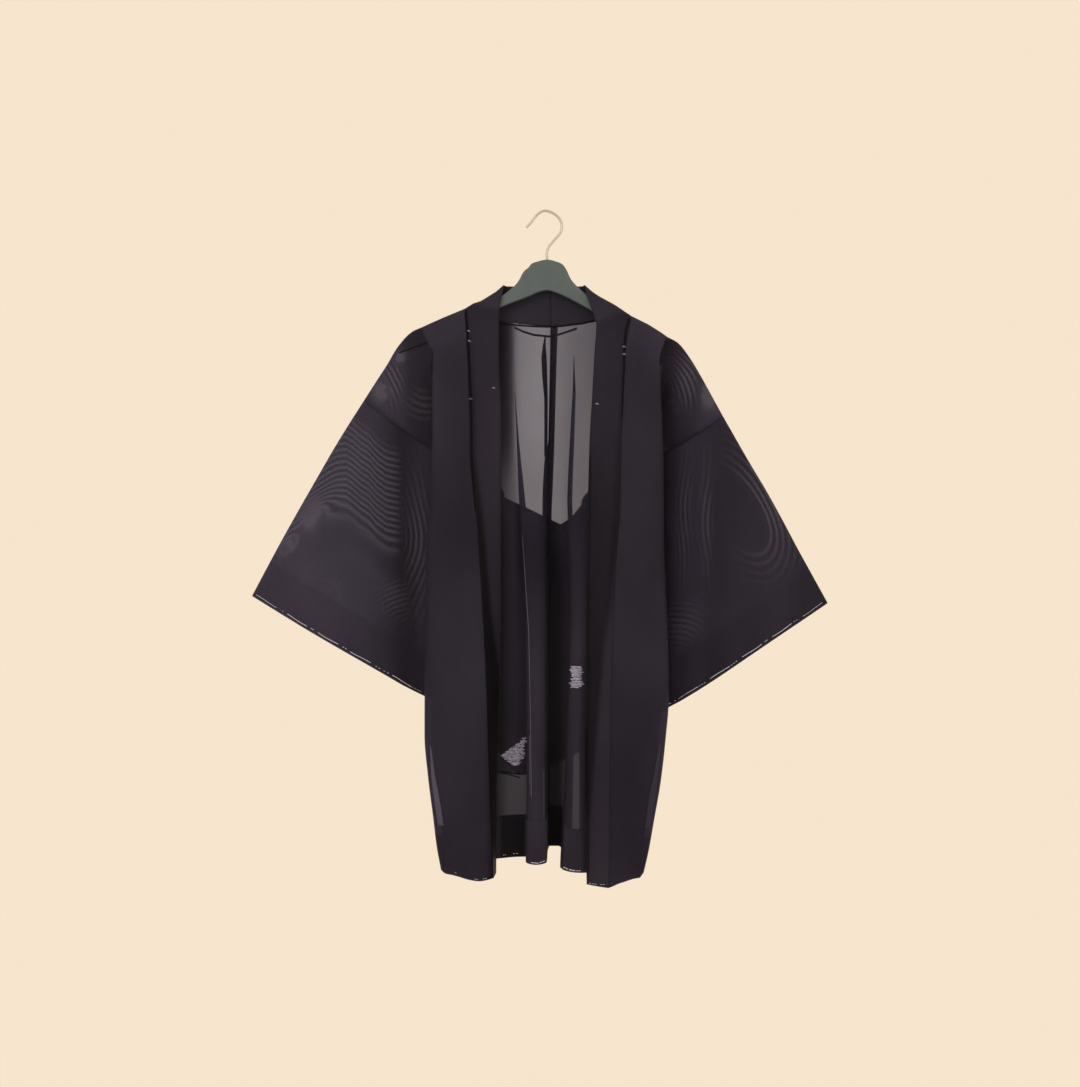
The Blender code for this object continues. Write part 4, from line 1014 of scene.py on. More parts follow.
def wave_field(name, x, z):
    """Phase and strength of the left sleeve's main fringes. The other pieces have none."""
    if name != "sleeve_left":
        return x * 0, x * 0
    level = z - np.interp(x, WAVE["line_x"], WAVE["line_z"])
    phase = np.interp(level, WAVE["count_z"], WAVE["count"])
    strength = np.interp(level, WAVE["fade_z"], WAVE["fade"], left=0, right=0)
    for x0, z0, long, short, tilt, rise in BUMPS:
        along_axis, across_axis = tilted(x - x0, z - z0, tilt)
        hill = np.exp(-(along_axis / long) ** 2 - (across_axis / short) ** 2)
        phase = phase + rise * hill
        strength = np.maximum(strength, np.minimum(1, hill * 2.2) * min(1, rise / 3))
    return phase, strength * (1 - ramp(x, *WAVE["edges"]))


def tilted(dx, dz, tilt):
    """Distances along and across an axis at a tilt in degrees."""
    tilt = math.radians(tilt)
    return dx * math.cos(tilt) + dz * math.sin(tilt), dx * math.sin(tilt) - dz * math.cos(tilt)


def ring_fields(name, x, z):
    """Phase and strength of the fringes that go round a centre."""
    phase, strength = x * 0, x * 0
    for i, (piece, x0, z0, tilt, ratio, spacing, inner, *mask, peak) in enumerate(RINGS):
        if piece != name:
            continue
        wobble = 3.0 * np.sin(z / 23.0 + i) + 2.0 * np.sin(x / 17.0 + 2 * i)
        along_axis, across_axis = tilted(x - x0 + wobble, z - z0, tilt)
        reach = np.hypot(across_axis, along_axis / ratio)
        mask_x, mask_z, half_x, half_z = mask
        own = np.exp(-((x - mask_x) / half_x) ** 2 - ((z - mask_z) / half_z) ** 2)
        own = own * peak * ramp(reach, inner - 6, inner + 2)
        phase = np.where(own > strength, reach / spacing + .25, phase)
        strength = np.maximum(strength, own)
    return phase, strength


def cuff_distance(side, x, z):
    """How far a place lies inside the line of the cuff."""
    a, b = np.array(side["cuff"][0], float), np.array(side["cuff"][-3], float)
    way = (b - a) / np.linalg.norm(b - a)
    return ((z - a[1]) * way[0] - (x - a[0]) * way[1]) * (1 if way[0] > 0 else -1)


def look(points, dense, shade, **fringes):
    """What a cloth's material reads at its points."""
    none = points[:, 0] * 0
    plain = {"dense": none + dense, "shade": none + shade, "phase": none, "fringe": none,
             "ring_phase": none, "ring_fringe": none}
    return {**plain, **fringes}


def sleeve_looks(name, side):
    def looks(points):
        x, y, z = points.T
        phase, strength = wave_field(name, x, z)
        ring_phase, ring_strength = ring_fields(name, x, z)
        tone = SLEEVE_TONE[name]
        free, behind = side["sleeve_free_x"], side["sleeve_behind_x"]
        outer = y < side["sleeve_depth"] * ramp((x - free) / (behind - free), 0, 1)
        plain = ramp(cuff_distance(side, x, z), CUFF_DEPTH - 6, CUFF_DEPTH + 6) * outer
        # Painted light and shade across the sleeve.
        dense, shade = (np.interp(x, tone["x"], tone[key]) for key in ("dense", "shade"))
        # Painted shade on the far layer.
        shade = shade * np.where(outer, 1, INNER_SHADE)
        return look(points, dense, shade, phase=phase, fringe=strength * plain, ring_phase=ring_phase,
                    ring_fringe=ring_strength * plain)
    return looks


def body_looks(name, side):
    def looks(points):
        x, y, z = points.T
        tone = {key: np.interp(x, BACK_TONE["x"], values) for key, values in BACK_TONE.items()}
        mid, low, sink = (ramp(-z, *TONE_DOWN[key]) for key in ("mid", "low", "shade"))
        # Cover with painted shadow along the left collar's edge and in the folds' hollows.
        tops = tone["cover_and_shadow_top"] * (1 - mid) + tone["cover_and_shadow_mid"] * mid
        back = np.interp(x, *BACK_SHARE)
        side_dense = np.where(z > SHOULDER_FOOT, SIDE_DENSE["shoulder"], SIDE_DENSE["below"])
        side_dense = side_dense - SIDE_DENSE["less"] * ramp(-z, *SIDE_DENSE["down"])
        dense = (tops * (1 - low) + tone["cover_and_shadow_low"] * low) * back + side_dense * (1 - back)
        (left, right), (top, foot) = HOLLOW_SHADE["x"], HOLLOW_SHADE["z"]
        dense = np.where((x > left) & (x < right) & (z < top) & (z > foot), HOLLOW_SHADE["dense"], dense)
        # Painted shade along the left collar's edge and in the folds' hollows.
        shade = 1 + (tone["shade_top"] * (1 - sink) + tone["shade_low"] * sink - 1) * back
        # Painted shade where the right front turns back at its lower inner edge.
        inner = np.interp(x, FRONT_DARK["x"], FRONT_DARK["dark"]) * ramp(-z, *FRONT_DARK["down"])
        shade = np.where((x > FRONT_DARK["min_x"]) & (y < FRONT_DARK["max_y"]), shade * (1 - inner), shade)
        # Painted shade on the shoulder beyond its fold.
        fold = SHOULDER_FOLD[name]
        out = np.abs(x) - np.interp(-z, fold["z"], fold["x"])
        dark = np.interp(out, fold["out"], fold["shade"])
        shade = np.where((out > 0) & (z > SHOULDER_FOOT), shade * dark, shade)
        # A painted highlight just below the shoulder.
        below = np.interp(x, *zip(*sorted(side["shoulder"]))) - z
        light = 1 + (SHOULDER_LIGHT["shade"] - 1) * (1 - ramp(below, *SHOULDER_LIGHT["down"]))
        lit = (out < 0) & (np.abs(x) > SHOULDER_LIGHT["min_x"]) & (y < SHOULDER_LIGHT["max_y"])
        shade = np.where(lit, shade * light, shade)
        phase, strength = ring_fields(name, x, z)
        return look(points, dense, shade, ring_phase=phase, ring_fringe=strength * (y < FRONT_LIMIT))
    return looks


def centre_looks(points):
    """The centre allowance: pale at the neck, with painted shade darker down the back."""
    z = points[:, 2]
    return look(points, np.interp(-z, *CENTRE_DENSE), np.interp(-z, *CENTRE_SHADE))


def hem_looks(points):
    """Turned-up hems, with painted shade: dark in the back's hollows and lighter on its folds."""
    shade = np.interp(points[:, 0], *HEM_TONE)
    return look(points, .8, np.where(points[:, 1] > HEM_FRONT, shade, 1.0))


def collar_looks(name, side):
    def looks(points):
        x, y, z = points.T
        tone = {key: np.interp(-z, [-v for v in COLLAR_TONE[name]["z"]], values)
                for key, values in COLLAR_TONE[name].items()}
        shade = tone["shade"]
        for edge in ("seam", "edge"):
            line = side["collar_" + edge]
            away = np.abs(x - np.interp(-z, [-v for v in line["z"]], line["x"]))
            shadow = 1 - ramp(away - tone[edge + "_width"], -SHADOW_SOFT, SHADOW_SOFT)
            shade = shade * (1 - tone[edge + "_dark"] * shadow)
        # Painted light above the crease over the shoulder, and painted shade below it.
        (x0, z0), (x1, z1) = COLLAR_CREASE[name]
        level = z - z0 - (x - x0) * (z1 - z0) / (x1 - x0)
        (paler, *above), (darker, *below) = CREASE_LIGHT, CREASE_DARK
        light = 1 + paler * ramp(level, *above) - darker * ramp(level, *below)
        return look(points, .85, shade * np.where(y < FRONT_LIMIT, light, 1))
    return looks


def even_looks(dense, shade):
    return lambda points: look(points, dense, shade)


# Materials -----------------------------------------------------------


# The silks: share of thread, its darkest and lightest colour, and the tint of the gaps.
SILK = (0.40, (0.0162, 0.0140, 0.0230), (0.0325, 0.0285, 0.045), (0.756, 0.785, 0.905))
COLLAR_SILK = (0.86, (0.0155, 0.0134, 0.0220), (0.028, 0.0248, 0.039), (0.70, 0.72, 0.86))
# What the fringes add to the colour, and take from the cover.
FRINGE_COLOUR = (0.5, 0.47, 0.58)
FRINGE_SHINE = 0.10
FRINGE_CLEAR = 0.12
# In metres: the weft's spacing, and the height of fine relief.
WEFT_SPACING = 0.0021
RELIEF = 0.0002


class Nodes:
    """Short ways to add and join a material's nodes."""

    def __init__(self, name):
        self.material = bpy.data.materials.new(name)
        self.material.use_nodes = True
        self.tree = self.material.node_tree
        self.shader = self.tree.nodes["Principled BSDF"]
        self.output = self.tree.nodes["Material Output"]

    def add(self, kind, **settings):
        node = self.tree.nodes.new("ShaderNode" + kind)
        for key, value in settings.items():
            setattr(node, key, value)
        return node

    def join(self, source, target):
        """Give an input a number, a colour, or another node's output."""
        if isinstance(source, (int, float)):
            target.default_value = source
        elif isinstance(source, tuple):
            target.default_value = (*source, 1)
        else:
            self.tree.links.new(source, target)

    def math(self, operation, a, b=0.5, clamp=False):
        node = self.add("Math", operation=operation, use_clamp=clamp)
        self.join(a, node.inputs[0])
        self.join(b, node.inputs[1])
        return node.outputs[0]

    def line(self, value, factor, offset):
        return self.math("ADD", self.math("MULTIPLY", value, factor), offset)

    def noise(self, vector, scale, detail):
        node = self.add("TexNoise")
        self.join(vector, node.inputs["Vector"])
        self.join(scale, node.inputs["Scale"])
        self.join(detail, node.inputs["Detail"])
        return node.outputs["Fac"]

    def mix_colour(self, share, a, b):
        node = self.add("Mix", data_type="RGBA", clamp_factor=False)
        for socket, value in ((node.inputs[0], share), (node.inputs[6], a), (node.inputs[7], b)):
            self.join(value, socket)
        return node.outputs[2]

    def scaled(self, vector, scale):
        node = self.add("Mapping")
        node.inputs["Scale"].default_value = scale
        self.join(vector, node.inputs["Vector"])
        return node.outputs["Vector"]

    def finish(self, colour, roughness, height, strength):
        """Join a surface's colour and roughness, and its fine relief."""
        self.join(colour, self.shader.inputs["Base Color"])
        self.join(roughness, self.shader.inputs["Roughness"])
        bump = self.add("Bump")
        self.join(strength, bump.inputs["Strength"])
        self.join(RELIEF, bump.inputs["Distance"])
        self.join(height, bump.inputs["Height"])
        self.join(bump.outputs["Normal"], self.shader.inputs["Normal"])


def sheer_silk(name, threads, dark, light, clear):
    """Fine black silk gauze: threads that hide what is behind them, and tinted gaps between them."""
    n = Nodes(name)
    uv = n.add("UVMap").outputs["UV"]
    place = n.add("TexCoord").outputs["Object"]
    split = n.add("SeparateXYZ")
    n.join(uv, split.inputs["Vector"])
    weft = n.math("SINE", n.math("MULTIPLY", split.outputs["Y"], 2 * math.pi / WEFT_SPACING))
    weft = n.math("MULTIPLY", n.math("ADD", weft, 1.0), 0.5)
    grain = n.noise(n.scaled(uv, (2400, 160, 1)), 1.0, 2.0)
    cloud = n.noise(n.scaled(place, (1, 1, .45)), 11.0, 4.0)
    cloud = n.math("ADD", n.math("MULTIPLY", n.math("SUBTRACT", cloud, 0.5), 2.2), 0.5, clamp=True)

    def fact(key):
        return n.add("Attribute", attribute_name=key).outputs["Fac"]

    def lines(phase, strength):
        wave = n.line(n.math("SINE", n.math("MULTIPLY", fact(phase), 2 * math.pi)), 0.5, 0.5)
        return n.math("MULTIPLY", n.math("POWER", wave, 1.6), fact(strength))

    fringe = n.math("ADD", lines("phase", "fringe"), lines("ring_phase", "ring_fringe"), clamp=True)
    shade = n.math("ADD", n.math("MULTIPLY", grain, 0.35), n.math("MULTIPLY", cloud, 0.65))
    toned = n.mix_colour(fact("shade"), (0, 0, 0), n.mix_colour(shade, dark, light))
    lit = n.mix_colour(n.math("MULTIPLY", fringe, FRINGE_SHINE), toned, FRINGE_COLOUR)
    for key, value in (("Specular IOR Level", 0.05), ("Sheen Weight", 0.02), ("Sheen Roughness", 0.45)):
        n.join(value, n.shader.inputs[key])
    n.finish(lit, n.line(grain, 0.2, 0.5), n.math("ADD", weft, grain), 0.07)
    warm, cool = (tuple(c * k for c, k in zip(clear, tint)) for tint in ((1.05, 1.01, .95), (.95, .99, 1.03)))
    gaps = n.add("BsdfTransparent")
    n.join(n.mix_colour(n.noise(place, 34.0, 2.0), warm, cool), gaps.inputs["Color"])
    cover = n.math("ADD", n.math("MULTIPLY", weft, 0.015), n.math("MULTIPLY", cloud, 0.08))
    cover = n.math("ADD", cover, threads - 0.0475)
    cover = n.math("ADD", cover, n.math("MULTIPLY", fact("dense"), 0.96 - threads))
    cover = n.math("SUBTRACT", cover, n.math("MULTIPLY", fringe, FRINGE_CLEAR), clamp=True)
    mix = n.add("MixShader")
    n.join(cover, mix.inputs["Fac"])
    n.join(gaps.outputs["BSDF"], mix.inputs[1])
    n.join(n.shader.outputs["BSDF"], mix.inputs[2])
    n.join(mix.outputs["Shader"], n.output.inputs["Surface"])
    return n.material


def plain_material(name, colour, roughness, metallic, speckle):
    n = Nodes(name)
    cloud = n.noise(n.add("TexCoord").outputs["Object"], 60.0, 5.0)
    colours = n.mix_colour(cloud, tuple(c * (1 - speckle) for c in colour), colour)
    n.join(metallic, n.shader.inputs["Metallic"])
    n.finish(colours, n.line(cloud, 0.2, roughness - 0.1), cloud, 0.1)
    return n.material


# The stage -----------------------------------------------------------

CREAM = (0.93, 0.78, 0.61)
# Place, size and power of the lamps, and where they aim.
LIGHTS = {"key": ((-1.6, -2.0, 0.7), 1.4, 26), "fill": ((1.8, -1.8, -0.2), 1.6, 14)}
LIGHT_AIM = (0, 0, -0.45)
FLOOR_Z = -1.75
# In metres, but the sensor in millimetres.
CAMERA_DISTANCE, HEIGHT_SEEN, SENSOR = 2.5, 1.5327, 36.0
CAMERA_X, CAMERA_Z = -0.0063, -0.4674
FRAME_WIDTH, FRAME_HEIGHT = 1080, 1087


def make_stage():
    world = bpy.data.worlds.new("studio")
    world.use_nodes = True
    background = world.node_tree.nodes["Background"]
    background.inputs["Color"].default_value = (*CREAM, 1)
    background.inputs["Strength"].default_value = 1.0
    bpy.context.scene.world = world
    n = Nodes("floor")
    for key, value in (("Base Color", (0, 0, 0)), ("Specular IOR Level", 0), ("Emission Color", CREAM),
                       ("Emission Strength", 1.0)):
        n.join(value, n.shader.inputs[key])
    mesh = bmesh.new()
    bmesh.ops.create_grid(mesh, x_segments=2, y_segments=2, size=20)
    data = bpy.data.meshes.new("floor")
    mesh.to_mesh(data)
    mesh.free()
    data.materials.append(n.material)
    floor = new_object("floor", data)
    floor.location = (0, 0, FLOOR_Z)
    for name, (place, size, power) in LIGHTS.items():
        light = bpy.data.lights.new(name, "AREA")
        light.size = size
        light.energy = power
        lamp = new_object(name, light)
        lamp.location = place
        x, y, z = np.array(LIGHT_AIM) - np.array(place)
        lamp.rotation_euler = (math.atan2(math.hypot(x, y), -z), 0, math.atan2(-x, y))


def make_camera():
    data = bpy.data.cameras.new("camera")
    data.sensor_fit = "VERTICAL"
    data.sensor_height = SENSOR
    data.sensor_width = SENSOR * FRAME_WIDTH / FRAME_HEIGHT
    data.lens = SENSOR * CAMERA_DISTANCE / HEIGHT_SEEN
    camera = new_object("camera", data)
    camera.location = (CAMERA_X, -CAMERA_DISTANCE, CAMERA_Z)
    camera.rotation_euler = (math.pi / 2, 0, 0)
    bpy.context.scene.camera = camera


def sagged(layout, name):
    """The collar with its top a little lower between the neck and the seam."""
    fine, down, across = layout
    moved = fine.copy()
    x, z = np.abs(fine[..., 0]), fine[..., 2]
    sag = COLLAR_SAG[name]
    (x0, z0), (x1, z1) = sag["ridge"]
    ridge = z0 + (x - x0) * (z1 - z0) / (x1 - x0)
    moved[..., 2] -= np.interp(x, sag["x"], sag["drop"]) * ramp(z - ridge, -COLLAR_SAG_FADE, -2)
    return moved, down, across


def make_layers(name, side, fine, silk, band):
    """One side's cloth: the panels that stand for its solids, and the cloth turned up inside them."""
    def panel(key, mesh, material, looks, wall=SHELL):
        whole = key + "_" + name
        return cloth_piece(whole + "_cloth", mesh, material, looks(whole, side), wall, [whole])

    made = {
        "body": panel("body", mesh_of(fine["front"], fine["back"], fine["extension"]), silk, body_looks),
        "sleeve": panel("sleeve", mesh_of(fine["sleeve"], closed=True), silk, sleeve_looks),
        "collar": panel("collar", mesh_of(fine["collar"]), band, collar_looks, COLLAR_WALL),
        "gusset": panel("gusset", mesh_of(fine["gusset"]), silk, lambda *_: even_looks(.4, .8)),
    }
    # The cloth turned up inside the hem and the cuff, and the armhole's allowance.
    hems = [turned(fine[part], part, hem_rows(fine[part], depth)) for part, depth in HEM_DEPTH.items()]
    made["hem"] = cloth_piece("hem_" + name, mesh_of(*hems), silk, hem_looks)
    cuff = ring_turned(fine["sleeve"], hem_rows(fine["sleeve"], CUFF_DEPTH))
    made["cuff"] = cloth_piece("cuff_" + name, mesh_of(cuff, closed=True), silk, even_looks(.3, 1.35))
    edge = fine["extension"][2]
    columns = np.nonzero(edge >= edge[-1] - ARMHOLE_ALLOWANCE)[0]
    allowance = turned(fine["extension"], "extension", slice(None), columns)
    made["armhole"] = cloth_piece("armhole_" + name, mesh_of(allowance), silk, even_looks(.5, .8))
    return made


def make_strips(silk):
    """Narrow seam allowances at the centre back and round the neck."""
    made = [cloth_piece(name, mesh_of(strip_between(table, behind)), silk, looks)
            for name, table, behind, looks in (("centre_allowance", CENTRE_ALLOWANCE, 1.2, centre_looks),
                                               ("centre_line", CENTRE_LINE, 1.4, even_looks(.9, .5)),
                                               ("fold_return", FOLD_RETURN, 2.5, even_looks(.6, .9)))]
    xs = np.linspace(NECK_LINE["x"][0], NECK_LINE["x"][-1], NECK_LINE_COLUMNS)
    tops = np.interp(xs, NECK_LINE["x"], NECK_LINE["z"])
    down = np.array([0, NECK_LINE_WIDTH])
    depths = [back_depth(x, NECK_LINE_LEVEL) + NECK_LINE_BEHIND for x in xs]
    grid = [[(x, y, top - drop) for x, y, top in zip(xs, depths, tops)] for drop in down]
    neck = mesh_of((np.array(grid), down, xs - xs[0]))
    return made + [cloth_piece("neck_allowance", neck, silk, even_looks(.8, .5))]


# What lies on the cloth's outer face ---------------------------------


def depth_finder(pieces):
    """A function that gives the depth of the first cloth behind a place, as seen from the front."""
    graph = bpy.context.evaluated_depsgraph_get()
    trees = [BVHTree.FromObject(piece, graph) for piece in pieces]

    def depth(x, z):
        hits = [tree.ray_cast((x * MM, -0.2, z * MM), (0, 1, 0))[0] for tree in trees]
        return min((hit.y / MM for hit in hits if hit is not None), default=None)
    return depth


# Light edges where the left fold catches the light.
FOLD_EDGES = [
    {
        "z": [-455, -480, -592, -700, -825],
        "left": [-31.6, -29.8, -22.6, -20.4, -18.4],
        "right": [-31.2, -28.9, -21.4, -19.4, -17.6],
    },
    {"z": [-735, -770, -822], "left": [-21.4, -21, -20.2], "right": [-20.8, -20, -19.6]},
]
# The collar seams' shadows.
SEAM_SHADE = [
    {
        "z": [-138, -163, -209, -266, -293, -348, -423],
        "left": [-112.3, -110.6, -107.9, -105.6, -104.4, -103.8, -97],
        "right": [-110.6, -107.6, -104.6, -102.2, -101.2, -101.2, -95.4],
    },
    {
        "z": [-151, -169, -191, -219, -252, -293],
        "left": [118.2, 112.6, 111, 111.2, 109.2, 107.4],
        "right": [120.4, 115.4, 113.6, 113, 110.8, 108.2],
    },
    {
        "z": [-345, -366, -467, -567, -704, -805, -880, -931],
        "left": [63.6, 61.9, 59.6, 58, 57, 56.4, 56, 56],
        "right": [64.4, 64.8, 63.4, 62.2, 61.4, 61, 61, 61],
    },
]
# Painted shadow as thin dark lines across: under the collar, over the left shoulder,
# and two above the lower window.
CROSS_LINES = [
    {
        "x": [-62, -40, -15, 5, 25, 50, 69],
        "z": [-155, -157.3, -159.2, -159.8, -158.8, -155.5, -151.5],
        "width": 2.4,
    },
    {"x": [-205, -190, -175, -166], "z": [-198.5, -193.5, -188, -184.5], "width": 1.5},
    {"x": [-67, -58, -50, -42, -35], "z": [-786.5, -787, -788.5, -790, -791], "width": 1.7},
    {"x": [-60, -50, -42, -35], "z": [-788.5, -791, -793.5, -796], "width": 1.7},
]
# Pale prints, as loose brush strokes one under another between two outlines.
PRINTS = {
    "fold_print": {
        "z": [-640, -644, -652, -658, -664, -670],
        "left": [38, 36, 39, 38, 35.5, 38],
        "right": [50, 53, 52, 50.5, 54, 47],
    },
    "hollow_print": {
        "z": [-740, -748, -755, -760, -766, -772, -780],
        "left": [-29, -35, -46, -53, -60, -52, -42],
        "right": [-25, -27, -30, -29, -28, -33, -36],
    },
}
PRINT_STROKE = 1.5
PRINT_GAP = 0.3
PRINT_WALL = 0.15
TRIM_STEP = 4.0
TRIM_GAP = 0.5
TRIM_WALL = 0.2
STITCH_GAP = 0.45
TACK_RADIUS = 0.32
# Small white stitches left along the collar's seams, and pale flecks along the hems: painted
# highlights where light catches the hems' folded edges, laid on as short threads.
TACKS = {
    "x": [-106.5, -105.6, -103.2, -71.2, 112, 112, 74],
    "z": [-169, -183, -264.5, -249, -191, -201.5, -271.4],
}
HEM_HIGHLIGHTS = {
    "x0": [-19, -7.8, 26, 33.8, 43.8, -58.5, -44.4, -125, -97, -85, 61.5, 76.5],
    "z0": [-911.6, -912.2, -918.8, -922, -923.8, -904.4, -903.5, -925, -931, -930, -939.8, -938.6],
    "x1": [-8.6, .7, 32.9, 43, 50.5, -53.5, -36, -122, -91, -79, 73, 84],
    "z1": [-912.6, -909.5, -921.8, -923.8, -924, -904, -902.6, -926, -931.4, -928.5, -938.9, -937.6],
    "radius": [.6, .5, .6, .75, .5, .3, .32, .32, .3, .3, .34, .3],
}


def strips_on(rows, depth, gap):
    """A list with one thin strip that lies on the cloth along rows of (x, z) places, if it can."""
    grid = []
    for row in rows:
        depths = [depth(x, z) for x, z in row]
        if None not in depths:
            grid.append([(x, y - gap, z) for (x, z), y in zip(row, depths)])
    if len(grid) < 2:
        return []
    return [(np.array(grid), np.arange(len(grid)) * TRIM_STEP, np.arange(len(grid[0])) * 1.0)]


def make_edges(name, tables, depth, silk, shade):
    strips = []
    for table in tables:
        levels = np.arange(table["z"][0], table["z"][-1], -TRIM_STEP)
        rows = [[(lookup(table["z"], table[edge], z), z) for edge in ("left", "right")] for z in levels]
        strips += strips_on(rows, depth, TRIM_GAP)
    return cloth_piece(name, mesh_of(*strips), silk, even_looks(.95, shade), TRIM_WALL)


def make_cross_lines(depth, silk):
    strips = []
    for line in CROSS_LINES:
        start, stop = line["x"][0], line["x"][-1]
        xs = np.linspace(start, stop, max(8, int((stop - start) / 2.7)))
        tops = [(x, float(np.interp(x, line["x"], line["z"]))) for x in xs]
        strips += strips_on([[(x, z), (x, z - line["width"])] for x, z in tops], depth, TRIM_GAP)
    return cloth_piece("cross_lines", mesh_of(*strips), silk, even_looks(1.0, .2), TRIM_WALL)


def make_print(name, depth, material):
    table = PRINTS[name]
    chance = np.random.default_rng(len(name))
    strips = []
    for z in np.arange(table["z"][0], table["z"][-1], -PRINT_STROKE):
        middle = z + chance.uniform(-.4, .4)
        left = lookup(table["z"], table["left"], z) + chance.uniform(-2.4, 1.2)
        right = lookup(table["z"], table["right"], z) + chance.uniform(-1.2, 2.4)
        rows = []
        for x in np.linspace(left, right, max(4, int((right - left) / 1.5))):
            half = PRINT_STROKE * chance.uniform(.16, .5)
            lean = chance.uniform(-.35, .35)
            rows.append([(x, middle + half + lean), (x, middle - half + lean)])
        strips += strips_on(rows, depth, PRINT_GAP)
    return cloth_piece(name, mesh_of(*strips), material, wall=PRINT_WALL)


def make_stitches_and_highlights(depth, thread):
    lines = [(TACK_RADIUS, [(x - 2.2, z - .6), (x - .2, z + .9), (x + 1.8, z - 1.1)])
             for x, z in zip(*TACKS.values())]
    # Painted highlights along the hems' folded edges, as short pale threads.
    for x0, z0, x1, z1, radius in zip(*HEM_HIGHLIGHTS.values()):
        parts = max(2, int(abs(x1 - x0) / 3.2))
        for i in range(parts):
            a, b = (i + .1) / parts, (i + (.98 if radius > .4 else .7)) / parts
            lines.append((radius, [(x0 + (x1 - x0) * t, z0 + (z1 - z0) * t) for t in (a, (a + b) / 2, b)]))
    mesh = bmesh.new()
    for radius, line in lines:
        depths = [depth(x, z) for x, z in line]
        if None not in depths:
            tube(mesh, [(x, y - STITCH_GAP, z) for (x, z), y in zip(line, depths)], radius)
    return cloth_piece("stitches", mesh, thread, wall=0)


# Basting threads on the cuffs: where each long stitch starts along the cuff, from its upper corner.
BASTING_INSET = 4.5
BASTING_LONG = 33.0
BASTING_SMALL = 2.2
BASTING_GAP = 0.9
BASTING_RADII = {BASTING_LONG: 0.42, BASTING_SMALL: 0.38}
BASTING = {
    "left": {
        "start": [5, 56, 107, 159, 227, 281],
        "small": [44, 48, 95, 98, 147, 151, 200, 205, 213, 219, 263, 268, 272],
    },
    "right": {
        "start": [7, 59, 110, 164, 217, 262],
        "small": [45, 49, 53, 100, 103, 152, 156, 160, 205, 209, 213, 254],
    },
}


def make_basting(name, side, thread):
    mesh = bmesh.new()
    cuff = side["cuff"]
    whole = line_length(cuff)
    table = BASTING[name]
    dashes = [(start, BASTING_LONG) for start in table["start"]]
    for start, length in dashes + [(start, BASTING_SMALL) for start in table["small"]]:
        points = []
        for place in np.linspace(start, min(start + length, whole), 8 if length == BASTING_LONG else 3):
            share = place / whole
            ahead = along(cuff, min(1, share + .02)) - along(cuff, max(0, share - .02))
            ahead /= np.linalg.norm(ahead)
            spot = along(cuff, share) + np.array([-ahead[1], ahead[0]]) * side["inward"] * BASTING_INSET
            depth = sleeve_middle(side, spot[0]) - LAYER_HALF_GAP - BASTING_GAP
            points.append((spot[0], depth, spot[1] + 0.5 * math.sin(place / 7.0)))
        tube(mesh, points, BASTING_RADII[length])
    return cloth_piece("basting_" + name, mesh, thread, wall=0)


def thread_material():
    n = Nodes("basting_thread")
    twist = n.noise(n.scaled(n.add("TexCoord").outputs["Object"], (900, 900, 900)), 1.0, 2.0)
    n.finish(n.mix_colour(twist, (0.34, 0.36, 0.42), (0.62, 0.64, 0.74)), n.line(twist, 0.2, 0.6), twist, 0.3)
    return n.material


HANGER_ROUND = 2.2


def hanger_outline():
    """The hanger's outline, its arms following the shoulder folds just under the cloth."""
    arms = []
    for side in (LEFT, RIGHT):
        ridge = side["shoulder"][:-1] + side["extension"][1:2]
        arm = [(x, z - drop) for (x, z), drop in zip(ridge, ARM_DROPS)]
        arms.append(arm + [(arm[-1][0] - ARM_TIP[0] * side["inward"], arm[-1][1] + ARM_TIP[1])])
    left, right = arms
    return (left[::-1] + HANGER_NECK_SIDE_LEFT[::-1] + HANGER_NECK + HANGER_NECK_SIDE_RIGHT + right
            + HANGER_UNDERSIDE)


def bezier_piece(name, points, dimensions, radius, material):
    """A rounded curve through points, given as X and Z."""
    data = bpy.data.curves.new(name, "CURVE")
    data.dimensions = dimensions
    data.resolution_u = 8
    data.bevel_depth = radius * MM
    data.bevel_resolution = 4
    spline = data.splines.new("BEZIER")
    spline.bezier_points.add(len(points) - 1)
    for knot, (x, z) in zip(spline.bezier_points, points):
        knot.co = (x * MM, z * MM, 0)
        knot.handle_left_type = knot.handle_right_type = "AUTO"
    data.materials.append(material)
    piece = new_object(name, data)
    piece.rotation_euler = (math.pi / 2, 0, 0)
    return piece, data, spline


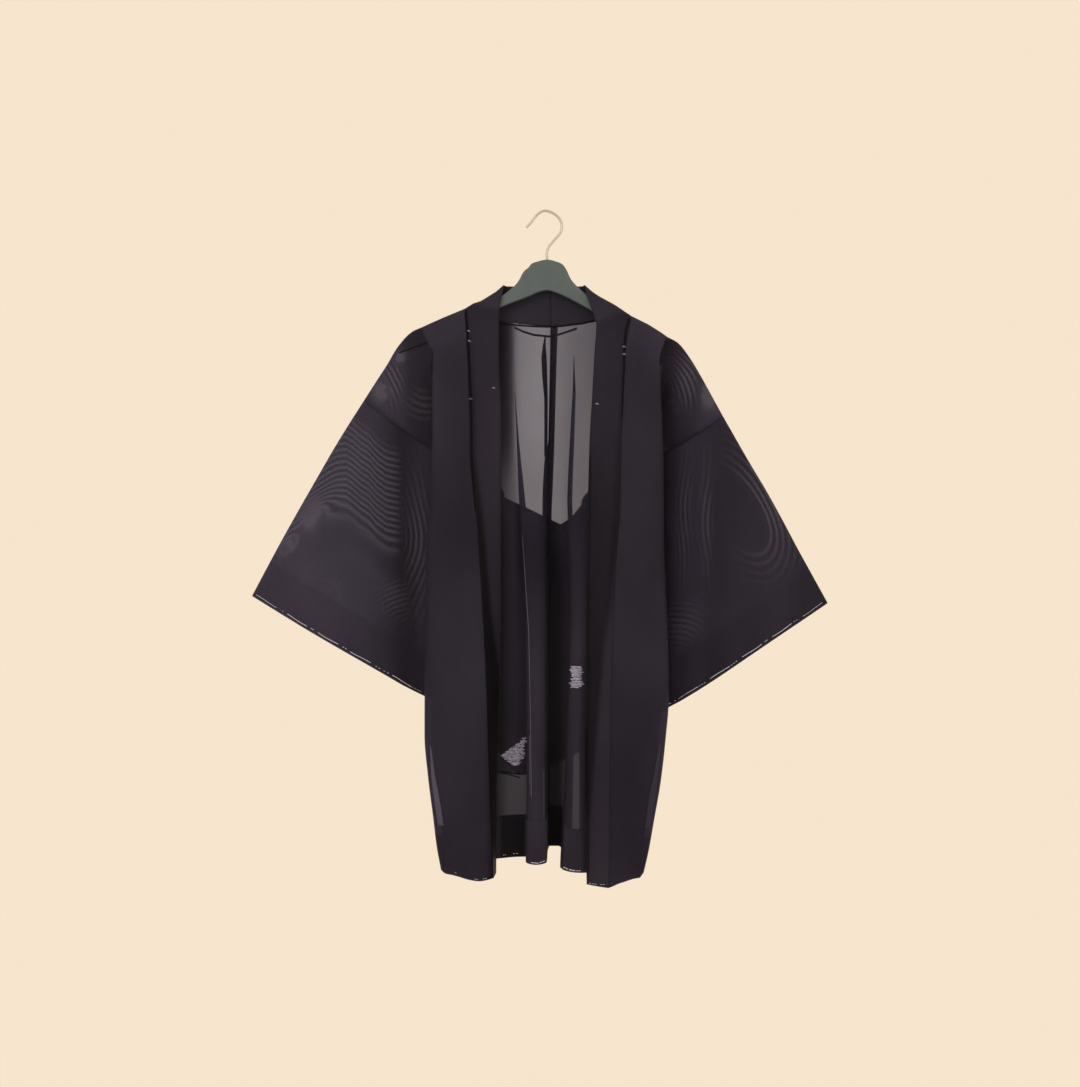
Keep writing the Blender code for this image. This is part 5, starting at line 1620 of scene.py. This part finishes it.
def make_hanger():
    """The flat bar with rounded edges, and its wire hook."""
    lacquer = plain_material("hanger_grey", (0.070, 0.096, 0.110), 0.42, 0, 0.35)
    bar, data, spline = bezier_piece("hanger_bar", hanger_outline(), "2D", HANGER_ROUND, lacquer)
    spline.use_cyclic_u = True
    data.fill_mode = "BOTH"
    data.extrude = (HANGER_HALF - HANGER_ROUND) * MM
    data.offset = -HANGER_ROUND * MM
    wire = plain_material("hook_wire", (0.56, 0.50, 0.44), 0.5, 1.0, 0.15)
    hook, data, spline = bezier_piece("hook_wire", HOOK_PATH, "3D", HOOK_RADIUS, wire)
    data.use_fill_caps = True
    for piece, node, slot in ((bar, "hanger", "hanger_grey"), (hook, "hook", "hook_wire")):
        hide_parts(node)
        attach(piece, "root")


# Each cloth's cut, before it was hung: its width and length in metres.
CUTS = {"body": (0.36, 1.62), "sleeve": (0.34, 0.99), "collar": (0.062, 0.87), "gusset": (0.052, 0.50)}


def declare(made, strips):
    """Gather the pieces that lie on each sheet of cloth; nothing more is done with them."""
    for name, pieces in made.items():
        own = [pieces["hem"], pieces["armhole"]] + (strips if name == "left" else [])
        own_of = {"body": own, "sleeve": [pieces["cuff"], pieces["basting"]], "collar": [], "gusset": []}
        for key, cut in CUTS.items():
            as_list(own_of[key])


def main():
    silk, band = sheer_silk("sheer_silk", *SILK), sheer_silk("collar_silk", *COLLAR_SILK)
    thread = thread_material()
    made = {}
    for name, side in (("left", LEFT), ("right", RIGHT)):
        fine = fine_side(side)
        for part in ("front", "back", "sleeve"):
            fine[part] = creased(fine[part], part)
        fine["collar"] = sagged(fine["collar"], name)
        made[name] = make_layers(name, side, fine, silk, band)
        made[name]["basting"] = make_basting(name, side, thread)
    strips = make_strips(silk)
    depth = depth_finder([made[name][key] for name in made for key in ("body", "collar", "hem")])
    strips.append(make_edges("fold_edges", FOLD_EDGES, depth, silk, 3.4))
    strips.append(make_edges("seam_shade", SEAM_SHADE, depth, silk, .15))
    for name, tables in SIDE_STRIPS.items():
        strips.append(make_edges("side_strip_" + name, tables, depth, silk, SIDE_STRIP_SHADE[name]))
    strips.append(make_cross_lines(depth, silk))
    pale = plain_material("pale_print", (0.44, 0.43, 0.60), 0.7, 0, 0.55)
    strips += [make_print(key, depth, pale) for key in PRINTS]
    strips.append(make_stitches_and_highlights(depth, thread))
    declare(made, strips)
    make_hanger()
    make_stage()
    make_camera()
    bpy.context.scene.view_settings.view_transform = "Standard"
    bpy.context.scene.cycles.transparent_max_bounces = 64


main()
